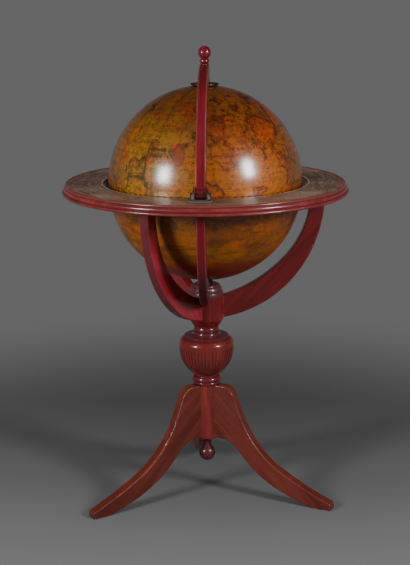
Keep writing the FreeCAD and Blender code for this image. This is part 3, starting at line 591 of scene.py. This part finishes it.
def metal(name, tone, tarnish, roughness=0.3, spread=0.5):
    """Plated or solid metal with tarnish, rubbed edges and fine scratches."""
    g = Graph(name)
    place = g.object_place()
    cloud = g.noise(place, 90, 5, 0.65)
    fine = g.noise(place, 900, 2, 0.6)
    dirty = g.step(cloud, 0.62 - 0.3 * spread, 0.75 - 0.2 * spread)
    dirty = g.most(dirty, g.step(g.hollow(METAL_DIRT_REACH), 0.3, 0.8))
    colour = g.mix(dirty, tone, tarnish)
    rub = g.step(g.arris(METAL_RUB_REACH), 0.25, 0.55, 0, 0.7)
    colour = g.mix(rub, colour, tuple(min(1, 1.25 * c) for c in tone))
    rough = g.math("ADD", g.times(dirty, 0.25), g.math("ADD", g.times(fine, 0.2), roughness - 0.1), clamp=True)
    normal = g.bump(g.math("ADD", fine, g.times(cloud, 0.6)), METAL_RELIEF, 0.4)
    return g.finish(colour, rough, g.math("SUBTRACT", 1.0, g.times(dirty, 0.45)), normal, specular=0.5)


# Printed map on the sphere: invented land, sea, routes and ornaments, under old varnish

def every(g, angle, step):
    """Distance from angle to the nearest multiple of step, both in radians."""
    return g.times(g.math("PINGPONG", g.math("DIVIDE", angle, step), 0.5), step)


def stroke(g, distance, width):
    """1 on a drawn line of that width, given the distance to its middle, in metres."""
    return g.step(distance, 0.35 * width, 0.75 * width, 1, 0)


def scattered(g, number, pitch, spread):
    """A value from 0 to 1 that jumps from one whole number to the next."""
    return g.math("FRACT", g.times(g.math("SINE", g.times(number, pitch)), spread))


def on_tangent(g, unit, azimuth, latitude):
    """How far east and north of a place on the sphere, the distance and heading from it, and 1 on its near side."""
    out = toward(azimuth, latitude)
    turn = math.radians(azimuth)
    east = Vector((math.cos(turn), math.sin(turn), 0))
    u = g.vector("DOT_PRODUCT", unit, tuple(east))
    v = g.vector("DOT_PRODUCT", unit, tuple(out.cross(east)))
    near = g.math("GREATER_THAN", g.vector("DOT_PRODUCT", unit, tuple(out)), 0.0)
    return u, v, g.flat_length(u, v), g.math("ARCTAN2", v, u), near


def compass(g, unit, azimuth, latitude, size):
    """A star of eight two-tone rays in a ring, and the faint bearing lines that leave it."""
    _, _, away, heading, near = on_tangent(g, unit, azimuth, latitude)
    long_ray = g.math("POWER", g.math("ABSOLUTE", g.math("COSINE", g.times(heading, 2.0))), 5.0)
    short_ray = g.math("POWER", g.math("ABSOLUTE", g.math("SINE", g.times(heading, 2.0))), 5.0)
    reach = g.times(g.math("ADD", g.most(long_ray, g.times(short_ray, 0.62)), 0.14), size)
    star = g.math("LESS_THAN", away, reach)
    half = g.math("GREATER_THAN", g.math("SINE", g.times(heading, 8.0)), 0.0)
    ring = stroke(g, g.gap(away, 0.55 * size), 0.06 * size)
    ink = g.most(g.times(star, g.math("ADD", g.times(half, 0.6), 0.35)), g.times(ring, 0.8))
    bearing = stroke(g, g.times(g.math("ABSOLUTE", g.math("SINE", g.times(heading, 8.0))), away), 0.011)
    bearing = g.times(bearing, g.step(away, 1.0 * size, 1.3 * size), g.step(away, 0.55, 0.85, 1, 0), near)
    return g.times(ink, near), bearing


def cartouche(g, unit, azimuth, latitude, wide, high, lobes):
    """An empty oval panel: how far inside its scalloped frame a place is (1 inside), and its frame's ink."""
    u, v, _, heading, near = on_tangent(g, unit, azimuth, latitude)
    oval = g.flat_length(g.math("DIVIDE", u, wide), g.math("DIVIDE", v, high))
    edge = g.math("ADD", 1.0, g.times(g.math("ABSOLUTE", g.math("SINE", g.times(heading, lobes / 2))), 0.16))
    inside = g.times(g.math("LESS_THAN", oval, edge), near)
    frame_band = g.times(inside, g.math("GREATER_THAN", oval, 0.72))
    scroll = g.math("SINE", g.math("ADD", g.times(heading, lobes), g.times(oval, 26.0)))
    ink = g.times(frame_band, g.step(scroll, -0.2, 0.4))
    rows = g.math("ABSOLUTE", g.math("SINE", g.times(v, 260.0)))
    hatch = g.times(inside, g.math("LESS_THAN", oval, 0.66), g.step(rows, 0.12, 0.3, 0.35, 0))
    return inside, g.most(ink, hatch)


def small_signs(g, unit, scale, keep):
    """Little arcs, like drawn hills, one in each cell, kept where keep is 1."""
    cell = g.cells(unit, scale, randomness=0.7)
    offset = g.scaled(g.vector("SUBTRACT", unit, cell["Position"]), scale)
    _, _, up = g.parts(offset)
    arc = stroke(g, g.gap(g.vector("LENGTH", offset), 0.26), 0.14)
    return g.times(arc, g.math("GREATER_THAN", up, -0.02), keep)


def map_print(name, bare=None):
    """The printed map. With a wood's tones as bare, only the face on the sphere has it and the rest is that wood."""
    g = Graph(name)
    raw = g.vector("NORMALIZE", g.vector("SUBTRACT", g.object_place(), tuple(CENTRE)))
    x, y, _ = g.parts(raw)
    longitude = g.math("ARCTAN2", y, x)
    gore_step = math.tau / GORES
    gore = g.math("FLOOR", g.math("DIVIDE", longitude, gore_step))
    slip = g.times(g.math("SUBTRACT", scattered(g, gore, 12.9, 43.7), 0.5), 0.012)
    unit = g.vector("NORMALIZE", g.vector("ADD", raw, g.join(0.0, 0.0, slip)))
    latitude = g.math("ARCSINE", g.parts(unit)[2])
    narrow = g.math("COSINE", latitude)
    radius = GLOBE_RADIUS

    def from_to(angle, latitudes, first, last):
        """From first to last between two latitudes."""
        return g.step(angle, math.radians(latitudes[0]), math.radians(latitudes[1]), first, last)

    # land and sea
    field = g.noise(g.vector("ADD", unit, MAP_SEED), 1.45, 10, 0.57)
    for direction, push in LAND_PUSHES:
        lobe = g.step(g.vector("DOT_PRODUCT", unit, direction), 0.35, 1.0, 0, push)
        field = g.math("ADD", field, lobe)
    land = g.step(field, 0.499, 0.503)
    coast = g.step(g.gap(field, 0.5), 0.0028, 0.0078, 1, 0)
    shelf = g.times(g.step(field, 0.455, 0.5), g.inverse(land))
    warp = g.vector("ADD", unit, g.scaled(g.noise(unit, 7, 4, 0.6, colour=True), 0.16))
    regions = g.cells(warp, 3.4)
    border = g.cells(warp, 3.4, "DISTANCE_TO_EDGE")["Distance"]
    tint = g.ramp(g.parts(regions["Color"])[0], REGION_TONES)
    ragged = g.noise(unit, 11, 4, 0.65)
    wash = g.times(g.step(border, 0.04, 0.13, 1, 0), g.step(ragged, 0.36, 0.50, 0.10, 0.90))
    land_tone = g.mix(wash, tint, BORDER_WASH)
    inner_coast = g.times(g.step(field, 0.51, 0.545, 1, 0), g.step(ragged, 0.38, 0.56, 0.2, 0.9), land)
    land_tone = g.mix(inner_coast, land_tone, BORDER_WASH)
    sea_cloud = g.noise(unit, 3.2, 4, 0.6)
    sea_tone = g.ramp(sea_cloud, SEA_TONES)
    sea_tone = g.mix(g.times(shelf, 0.55), sea_tone, SHELF_TONE)
    colour = g.mix(land, sea_tone, land_tone)
    blush = g.step(g.noise(g.vector("ADD", unit, (3, 1, 2)), 2.6, 5, 0.62), 0.48, 0.62)
    warm = g.step(g.vector("DOT_PRODUCT", unit, WARM_SIDE), 0.55, 0.95)
    colour = g.mix(g.most(g.times(blush, 0.6), g.times(warm, 0.62)), colour, BLUSH)
    glow = g.step(g.noise(g.vector("ADD", unit, (6, 3, 1)), 8.5, 4, 0.6), 0.56, 0.66, 0, 0.75)
    colour = g.mix(glow, colour, GLOW)
    # painted shade: the print darker towards the sphere's sides at plus and minus X
    side_shade = g.step(g.math("ABSOLUTE", g.parts(unit)[0]), 0.66, 0.95, 0, 0.85)
    colour = g.mix(side_shade, colour, SIDE_SHADE)
    spots = g.cells(g.vector("ADD", warp, (2, 7, 4)), 4.6)
    spot = g.times(g.step(spots["Distance"], 0.10, 0.17, 0.85, 0), g.step(g.parts(spots["Color"])[1], 0.50, 0.55))
    colour = g.mix(spot, colour, SPOT_TONE)
    mottle = g.step(g.noise(g.vector("ADD", unit, (8, 1, 6)), 22, 6, 0.72), 0.48, 0.62, 0, 0.55)
    colour = g.mix(mottle, colour, STAIN)

    # drawn lines
    meridian = stroke(g, g.times(every(g, longitude, math.radians(MERIDIAN_STEP)), narrow, radius), GRID_LINE)
    parallel = stroke(g, g.times(every(g, latitude, math.radians(PARALLEL_STEP)), radius), GRID_LINE)
    high = from_to(g.math("ABSOLUTE", latitude), MERIDIAN_ENDS, 1, 0)
    lines = g.times(g.most(g.times(meridian, high), parallel), 0.42)
    for circle in CIRCLES:
        off = g.gap(g.math("ABSOLUTE", latitude), math.radians(circle))
        pair = stroke(g, g.gap(g.times(off, radius), CIRCLE_GAP), CIRCLE_LINE)
        lines = g.most(lines, g.times(pair, 0.6))
    tilt = g.math("ABSOLUTE", g.vector("DOT_PRODUCT", unit, ECLIPTIC_POLE))
    dashes = g.step(g.math("SINE", g.times(longitude, DASHES)), -0.2, 0.2, 0.35, 1)
    lines = g.most(lines, g.times(stroke(g, g.times(tilt, radius), ECLIPTIC_LINE), dashes, 0.8))
    equator = g.times(g.math("ABSOLUTE", latitude), radius)
    scale_bar = g.times(g.math("LESS_THAN", equator, SCALE_HALF),
                        g.step(g.math("SINE", g.times(longitude, DASHES)), -0.1, 0.1, 0.15, 0.85))
    lines = g.most(lines, scale_bar)
    lines = g.most(lines, g.times(stroke(g, border, 0.034), land, 0.75))
    water_lines = stroke(g, g.times(every(g, latitude, math.radians(WATER_STEP)), radius), WATER_LINE)
    lines = g.most(lines, g.times(water_lines, g.step(field, 0.468, 0.498), g.inverse(land), 0.75))
    lines = g.most(lines, g.times(coast, 0.95))
    rivers = g.noise(g.vector("ADD", unit, (5, 5, 1)), 5.5, 6, 0.6)
    rivers = g.step(g.gap(rivers, 0.5), 0.002, 0.007, 1, 0)
    lines = g.most(lines, g.times(rivers, land, 0.55))
    range_place = g.step(g.noise(g.vector("ADD", unit, (9, 2, 4)), 4.2, 3, 0.5), 0.54, 0.57)
    lines = g.most(lines, g.times(small_signs(g, unit, 46, g.times(land, range_place)), 0.85))
    east_west = g.join(g.times(longitude, narrow, 44.0), g.times(latitude, 80.0), 0.0)
    ticks = g.step(g.noise(east_west, 1, 2, 0.5), 0.52, 0.57)
    rows = g.step(g.math("SINE", g.times(latitude, 96.0)), -0.1, 0.4)
    busy = g.step(g.noise(g.vector("ADD", unit, (1, 7, 3)), 6, 3, 0.5), 0.42, 0.50)
    ticks = g.times(ticks, rows, busy)
    red_ink = g.times(ticks, land)
    lines = g.most(lines, g.times(ticks, g.math("ADD", g.times(land, -0.20), 0.70)))
    for azimuth, latitude_deg, star_size in COMPASSES:
        star, bearing = compass(g, unit, azimuth, latitude_deg, star_size)
        lines = g.most(lines, g.times(star, 0.95), g.times(bearing, g.inverse(land), 0.5))
    for azimuth, latitude_deg, wide, tall, lobes in CARTOUCHES:
        inside, ink = cartouche(g, unit, azimuth, latitude_deg, wide, tall, lobes)
        colour = g.mix(g.times(inside, 0.75), colour, CARTOUCHE_TONE)
        lines = g.times(lines, g.inverse(g.times(inside, 0.8)))
        red_ink = g.most(g.times(red_ink, g.inverse(inside)), g.times(ink, 0.9))
    faded = g.step(g.noise(g.vector("ADD", unit, (2, 2, 8)), 9, 4, 0.6), 0.35, 0.6, 0.70, 1)
    colour = g.mix(g.times(lines, faded, 0.9), colour, SEPIA)
    colour = g.mix(g.times(red_ink, faded, 0.85), colour, RED_INK)

    # age: gore seams, streaks, stains, a darker south, flecks and cracks, and painted shade towards the north
    seam_gap = g.times(every(g, longitude, gore_step), narrow, radius)
    seam = stroke(g, seam_gap, SEAM_LINE)
    seam_shade = g.step(seam_gap, 0, SEAM_SHADE, 0.22, 0)
    colour = g.mix(g.most(g.times(seam, 0.6), seam_shade), colour, STAIN)
    streak = g.noise(g.join(g.times(longitude, 1.5), g.times(latitude, 8.0), 0.0), 1.5, 4, 0.6)
    south = from_to(latitude, BOWL_FADE, 1, 0)
    patch = g.step(g.noise(g.vector("ADD", unit, (4, 4, 7)), 3.4, 3, 0.5), 0.42, 0.60)
    colour = g.mix(g.times(south, 0.66), colour, g.mix(patch, BOWL_TONE, BOWL_PATCH))
    colour = g.mix(g.times(g.step(streak, 0.50, 0.62), g.math("ADD", g.times(south, 0.35), 0.15)), colour, STAIN)
    stain = g.noise(unit, 4.5, 7, 0.68)
    colour = g.mix(g.step(stain, 0.50, 0.72, 0, 0.6), colour, STAIN)
    drift = g.math("ADD", latitude, g.times(g.math("SUBTRACT", g.noise(unit, 3, 4, 0.6), 0.5), 0.5))
    colour = g.mix(from_to(drift, SOUTH_FADE, 0.9, 0), colour, SOUTH_TONE)
    # painted shade: darker towards the north
    colour = g.mix(from_to(drift, NORTH_FADE, 0, 1), colour, NORTH_SHADE, "MULTIPLY")
    fleck = g.step(g.noise(unit, 130, 2, 0.5), 0.68, 0.72, 0, 0.7)
    colour = g.mix(fleck, colour, SEPIA)
    cracks = g.cells(g.vector("ADD", unit, g.scaled(g.noise(unit, 30, 2, colour=True), 0.02)), 24, "DISTANCE_TO_EDGE")
    crack = g.step(cracks["Distance"], 0.004, 0.016, 1, 0)
    colour = g.mix(g.times(crack, 0.14), colour, SEPIA)

    # varnish, and the bare wood beside the print
    haze = g.noise(unit, 6, 4, 0.6)
    rough = g.math("ADD", g.times(haze, 0.16), 0.30)
    if bare:
        printed = g.step(g.vector("LENGTH", g.vector("SUBTRACT", g.object_place(), tuple(CENTRE))),
                         GLOBE_RADIUS - PRINT_DEPTH[0], GLOBE_RADIUS - PRINT_DEPTH[1])
        grain = g.noise(g.join(g.times(longitude, 3.0), g.times(narrow, 60.0), g.times(latitude, 60.0)), 3, 5, 0.6)
        colour = g.mix(printed, g.ramp(grain, [(0.35, bare[0]), (0.5, bare[1]), (0.65, bare[2])]), colour)
        rough = g.math("ADD", rough, g.times(g.inverse(printed), 0.15))
    height = g.math("ADD", g.times(seam, -0.6), g.math("ADD", g.times(g.noise(unit, 34, 4, 0.6), 0.7),
                                                      g.times(crack, -0.25)))
    gloss = from_to(latitude, GLOSS_FADE, 0.4, 1)
    return g.finish(colour, rough, 0, g.bump(height, MAP_RELIEF, 0.3), coat=gloss, coat_roughness=0.22,
                    specular=0.10, coat_index=1.62)


def ring_print():
    """Printed and varnished paper on the ring: a degree scale, twelve panels with a vine, and a red border."""
    g = Graph("worn_ring_print")
    x, y, _ = g.parts(g.object_place())
    away = g.flat_length(x, y)
    heading = g.math("ARCTAN2", y, x)

    def off(radius):
        return g.gap(away, radius)

    def zone(low, high):
        return g.times(g.math("GREATER_THAN", away, low), g.math("LESS_THAN", away, high))

    def spoke(degrees_apart, width):
        return stroke(g, g.times(every(g, heading, math.radians(degrees_apart)), away), width)

    chequer = g.math("GREATER_THAN", g.math("SINE", g.times(heading, 180.0)), 0.0)
    ink = g.times(chequer, zone(CHEQUER_IN, CHEQUER_OUT))
    ink = g.most(ink, g.times(spoke(1, DEGREE_LINE), zone(CHEQUER_OUT, DEGREES_OUT)),
                 g.times(spoke(10, TENS_LINE), zone(CHEQUER_IN, TENS_OUT)))
    for radius in (CHEQUER_IN, CHEQUER_OUT, DEGREES_OUT, TENS_OUT, PANEL_IN, PANEL_OUT, LOZENGE_IN, LOZENGE_OUT):
        ink = g.most(ink, g.times(stroke(g, off(radius), RING_LINE), 0.8))
    ink = g.most(ink, g.times(spoke(PANEL_STEP, PANEL_LINE), zone(PANEL_IN, PANEL_OUT)))
    wave = g.times(g.math("SINE", g.times(heading, VINE_WAVES)), VINE_SWING)
    for side in (1, -1):
        stem = g.gap(g.math("SUBTRACT", away, VINE_RADIUS), g.times(wave, side))
        ink = g.most(ink, g.times(stroke(g, stem, VINE_LINE), 0.75))
    leaf_turn = g.times(every(g, g.math("ADD", heading, math.radians(LEAF_STEP / 2)), math.radians(LEAF_STEP)), away)
    for radius in LEAF_RADII:
        leaf = g.flat_length(g.times(leaf_turn, 0.7), off(radius))
        ink = g.most(ink, g.times(g.step(leaf, *LEAF_EDGE, 1, 0), 0.7))
    lozenge = g.math("ADD", g.times(every(g, heading, math.radians(LOZENGE_STEP)), away, 0.8), off(LOZENGE_RADIUS))
    ink = g.most(ink, g.times(g.step(lozenge, *LOZENGE_EDGE, 1, 0), 0.8))

    cloud = g.noise(g.object_place(), 9, 5, 0.62)
    panel = g.math("FLOOR", g.math("DIVIDE", heading, math.radians(PANEL_STEP)))
    shade = scattered(g, panel, 7.3, 9.1)
    paper = g.ramp(g.math("ADD", g.times(cloud, 0.9), g.times(shade, 0.1)), RING_TONES)
    border = g.step(away, BORDER_IN, BORDER_FULL)
    colour = g.mix(g.times(border, 0.8), paper, RING_BORDER)
    faded = g.step(g.noise(g.object_place(), 24, 4, 0.6), 0.36, 0.60, 0.35, 1)
    colour = g.mix(g.times(ink, faded), colour, RING_INK)
    around = g.join(g.times(heading, 3.0), g.times(away, 60.0), 0.0)
    rubbed = g.step(g.noise(around, 2.2, 6, 0.66), 0.50, 0.62, 0, 0.6)
    colour = g.mix(rubbed, colour, RING_RUBBED)
    flush = g.step(g.noise(g.vector("ADD", around, (3, 5, 0)), 2.6, 5, 0.6), 0.56, 0.66, 0, 0.5)
    colour = g.mix(flush, colour, RING_BORDER)
    inner = g.times(g.step(away, PALE_EDGE, CHEQUER_IN, 1, 0), 0.8)
    colour = g.mix(inner, colour, RING_PALE)
    stain = g.step(g.noise(g.object_place(), 30, 5, 0.7), 0.56, 0.72, 0, 0.7)
    colour = g.mix(stain, colour, RING_INK)
    rough = g.math("ADD", g.times(cloud, 0.25), 0.28)
    height = g.math("ADD", g.noise(g.object_place(), 300, 3, 0.6), g.times(rubbed, -0.8))
    return g.finish(colour, rough, 0, g.bump(height, RING_RELIEF, 0.3), coat=0.2, coat_roughness=0.30,
                    specular=0.12)


def lining():
    """Patterned paper inside both halves: a net of small eight-point rosettes, yellowed and rubbed."""
    g = Graph("lining_paper")
    raw = g.vector("NORMALIZE", g.vector("SUBTRACT", g.object_place(), tuple(CENTRE)))
    x, y, z = g.parts(raw)
    longitude, latitude = g.math("ARCTAN2", y, x), g.math("ARCSINE", z)
    narrow = g.math("COSINE", latitude)
    step = math.radians(LINING_STEP)
    u = g.times(every(g, longitude, step), narrow)
    v = every(g, latitude, step)
    away = g.flat_length(u, v)
    turn = g.math("ARCTAN2", v, u)
    petal = g.math("ADD", 0.030, g.times(g.math("COSINE", g.times(turn, 4.0)), 0.010))
    rosette = g.math("LESS_THAN", away, petal)
    core = g.math("LESS_THAN", away, 0.010)
    net = stroke(g, g.gap(g.math("ADD", u, v), 0.062), 0.006)
    cloud = g.noise(raw, 5, 5, 0.6)
    paper = g.ramp(cloud, LINING_TONES)
    ink = g.most(g.times(rosette, g.inverse(core)), net)
    fade = g.step(g.noise(raw, 14, 4, 0.65), 0.36, 0.62, 0.25, 0.8)
    colour = g.mix(g.times(ink, fade), paper, LINING_INK)
    seam = stroke(g, g.times(every(g, longitude, math.tau / GORES), narrow, GLOBE_RADIUS), LINING_SEAM)
    colour = g.mix(g.times(seam, 0.5), colour, STAIN)
    colour = g.mix(g.step(g.noise(raw, 11, 6, 0.7), 0.55, 0.75, 0, 0.6), colour, STAIN)
    height = g.math("ADD", g.noise(raw, 60, 4, 0.6), g.times(seam, -0.6))
    rough = g.math("ADD", g.times(cloud, 0.25), 0.60)
    return g.finish(colour, rough, 0, g.bump(height, LINING_RELIEF, 0.35), specular=0.3)


def hinge_metal():
    """Pale plated leaf on the ring with brass ears above it, both tarnished in the corners; the leaf's front face has a
    painted highlight along its top and painted shade below it.
    """
    g = Graph("hinge_metal")
    place = g.object_place()
    _, _, z = g.parts(place)
    cloud = g.noise(place, 120, 5, 0.65)
    ear = g.step(z, EAR_FOOT, EAR_FOOT + CRISP)
    # painted light on the leaf's front face: a pale highlight below its top edge, painted shade lower down
    face = g.mix(g.step(z, PLATE_TOP - EDGE_FADE[0], PLATE_TOP - EDGE_FADE[1]), PLATE_DIRT_AND_SHADE, PLATE_EDGE_HIGHLIGHT)
    face = g.mix(g.step(z, PLATE_TOP - FACE_FADE[0], PLATE_TOP - FACE_FADE[1]), face, PLATE_TONE)
    tone = g.mix(ear, face, EAR_TONE)
    dirty = g.most(g.step(cloud, 0.50, 0.68), g.step(g.hollow(HINGE_DIRT_REACH), 0.35, 0.8))
    colour = g.mix(g.times(dirty, 0.85), tone, g.mix(ear, PLATE_DIRT_AND_SHADE, BRASS_DIRT))
    rough = g.math("ADD", g.times(dirty, 0.15), 0.58)
    normal = g.bump(g.math("ADD", g.noise(place, 1200, 2), cloud), METAL_RELIEF, 0.4)
    return g.finish(colour, rough, g.math("SUBTRACT", 0.6, g.times(dirty, 0.35)), normal)


def hinge_bracket(name, side, finish, panel):
    """A flared cheek on the hinge's plate beside the arm's foot, with a raised border round a sunk panel."""
    form = bmesh.new()
    back = [form.verts.new((side * x * MM, BRACKET_FACE + BRACKET_DEPTH, PLATE_TOP + z * MM)) for x, z in BRACKET]
    made = bmesh.ops.extrude_face_region(form, geom=[form.faces.new(back)])["geom"]
    bmesh.ops.translate(form, verts=[v for v in made if isinstance(v, bmesh.types.BMVert)], vec=(0, -BRACKET_DEPTH, 0))
    front = [f for f in made if isinstance(f, bmesh.types.BMFace)]
    bmesh.ops.recalc_face_normals(form, faces=form.faces)
    bmesh.ops.inset_region(form, faces=front, thickness=BRACKET_BORDER)
    bmesh.ops.inset_region(form, faces=front, thickness=BRACKET_STEP, depth=-BRACKET_SUNK)
    for face in front:
        face.material_index = 1
    mesh = bpy.data.meshes.new(name)
    form.to_mesh(mesh)
    form.free()
    piece = add_object(name, mesh)
    for material in (finish, panel):
        mesh.materials.append(material)
    soft = piece.modifiers.new("soft_edges", "BEVEL")
    soft.width, soft.segments, soft.limit_method = BRACKET_SOFT, 2, "ANGLE"
    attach(piece, "stand")


def dress():
    """Gives each CAD node its finish."""
    paint(wood("turned_mahogany", grain_upright, FINIAL_TONES, WORN_RED, roughness=0.36, coat=1.0,
               coat_roughness=0.07, wear=0.2), "finial")
    # the hub's dome above HUB_TOP carries a painted sheen
    paint(wood("hub_mahogany", grain_upright, RED_TONES, WORN_RED, roughness=0.36, coat=0.6, coat_roughness=0.17,
               wear=0.6, bands=[(HUB_TOP, ABOVE, CRISP, DOME_SHEEN)]), "cradle_hub")
    paint(wood("urn_mahogany", grain_upright, URN_TONES, WORN_RED, roughness=0.36, coat=0.8, coat_roughness=0.10,
               wear=0.3, hollow_shading=0.4,
               bands=[(URN_SHOULDER, ABOVE, CRISP, SHOULDER_TONE), (0, BEAD_TOP, CRISP, BEAD_TONE)]), "column_urn")
    paint(wood("pendant_mahogany", grain_upright, PENDANT_TONES, WORN_BASE, wear=0.4, coat=0.7), "pendant_finial")
    paint(wood("post_mahogany", grain_upright, POST_TONES, WORN_BASE, wear=0.2), "tripod_post")
    for number, azimuth in enumerate(LEG_AZIMUTHS, 1):
        paint(wood("leg_mahogany_%d" % number, grain_board(azimuth, LEG_SLOPE), BASE_TONES, WORN_BASE,
                   wear=0.8, coat=0.4, coat_roughness=0.2, clear=LEG_CLEAR), "leg_%d" % number)
    # painted light: each arm's tones are brightened by its own factors
    for number, (azimuth, shade) in enumerate(zip(ARM_AZIMUTHS, ARM_LIGHT_FACTORS), 1):
        turn = math.radians(azimuth)
        across = (-math.sin(turn), math.cos(turn), 0)
        tones = [tuple(a * b for a, b in zip(tone, shade)) for tone in ARM_TONES]
        paint(wood("arm_mahogany_%d" % number, grain_board(azimuth, ARM_SLOPE), tones, WORN_RED, coat=0.8,
                   wear=0.5, bent_face_light=(across, ARM_UNDER_SHEEN, ARM_UPPER_LIGHT)), "cradle_arm_%d" % number)
    # the rim's grooves carry painted light, a paler tone against their shade
    paint(wood("ring_mahogany", grain_segments, RIM_TONES, WORN_RED, wear=0.45, coat=1.0, coat_roughness=0.2,
               hollow_shading=0.9, hollow_shading_tone=RIM_GROOVE_LIGHT, bands=[(RIM_TOP_HEIGHT, ABOVE, CRISP, RIM_TOP)]), "horizon_ring")
    # painted shade on both strips: darker at the lower strip's foot and at the upper arm's top
    for name, bands in (("meridian_arm", [(STRIP_HIGH, ABOVE, STRIP_HIGH_FADE, STRIP_TOP_SHADE)]),
                        ("meridian_lower", [(0, STRIP_LOW, STRIP_LOW_FADE, STRIP_LOW_SHADE)])):
        paint(wood(name + "_wood", grain_arc, STRIP_TONES, WORN_RED, wear=0.3, coat=0.5, coat_roughness=0.2,
                   edge=STRIP_EDGE, bands=bands), name)
    paint(map_print("rim_wood", TAN_TONES), "lid_rim", "bowl_rim")
    paint(wood("rack_wood", grain_board(0, 0), RACK_TONES, WORN_BASE, roughness=0.55, coat=0, wear=0.4),
          "rack_floor", "rack_deck", "lid_pole_block", "bowl_pivot_block")
    paint(wood("rack_post_wood", grain_upright, RACK_TONES, WORN_BASE, coat=0.3), "rack_post_1", "rack_post_2",
          "rack_post_3")
    paint(wood("plain_beech", grain_board(0, 0), BEECH_TONES, WORN_BEECH, coat=0), "leg_dowels", "arm_dowels")
    paint(map_print("varnished_map"), "lid_shell", "bowl_shell")
    paint(ring_print(), "ring_paper")
    paint(lining(), "lid_lining", "bowl_lining")
    paint(hinge_metal(), "hinge_base")
    paint(metal("zinc_steel", STEEL, STEEL_DIRT), "tie_rod", "ring_screws", "pivot_washer", "pivot_nut",
          "polar_bolt", "polar_washer", "polar_nut", "rack_screws")
    paint(metal("aged_brass", BRASS, BRASS_DIRT), "hub_insert", "hinge_pin")
    paint(metal("dark_brass", DARK_BRASS, DARK_BRASS_DIRT, roughness=0.38), "polar_disc", "polar_spacer",
          "pivot_collar", "pivot_bolt")
    paint(metal("worn_screws", PLATE_TONE, PLATE_DIRT_AND_SHADE, roughness=0.55, spread=0.8), "base_screws")
    paint(wood("stained_shoe", grain_upright, SHOE_TONES, WORN_RED, wear=0.2, coat=0.4, coat_roughness=0.2,
               bands=[(SHOE_LINE, ABOVE, CRISP, STRIP_TONES[1])]), "hinge_shoe")
    paint(metal("dark_screw", STRIP_TONES[1], SHOE_TONES[0], roughness=0.5), "shoe_screw")


def make_brackets():
    finish = metal("bracket_brass", BRACKET_TONE, BRASS_DIRT, roughness=0.5, spread=0.9)
    panel = metal("bracket_panel", PANEL_TONE, PLATE_DIRT_AND_SHADE, roughness=0.6, spread=0.2)
    for side, place in ((-1, "left"), (1, "right")):
        hinge_bracket("hinge_bracket_" + place, side, finish, panel)


make_camera()
make_floor()
make_world()
make_lamps()
dress()
make_brackets()
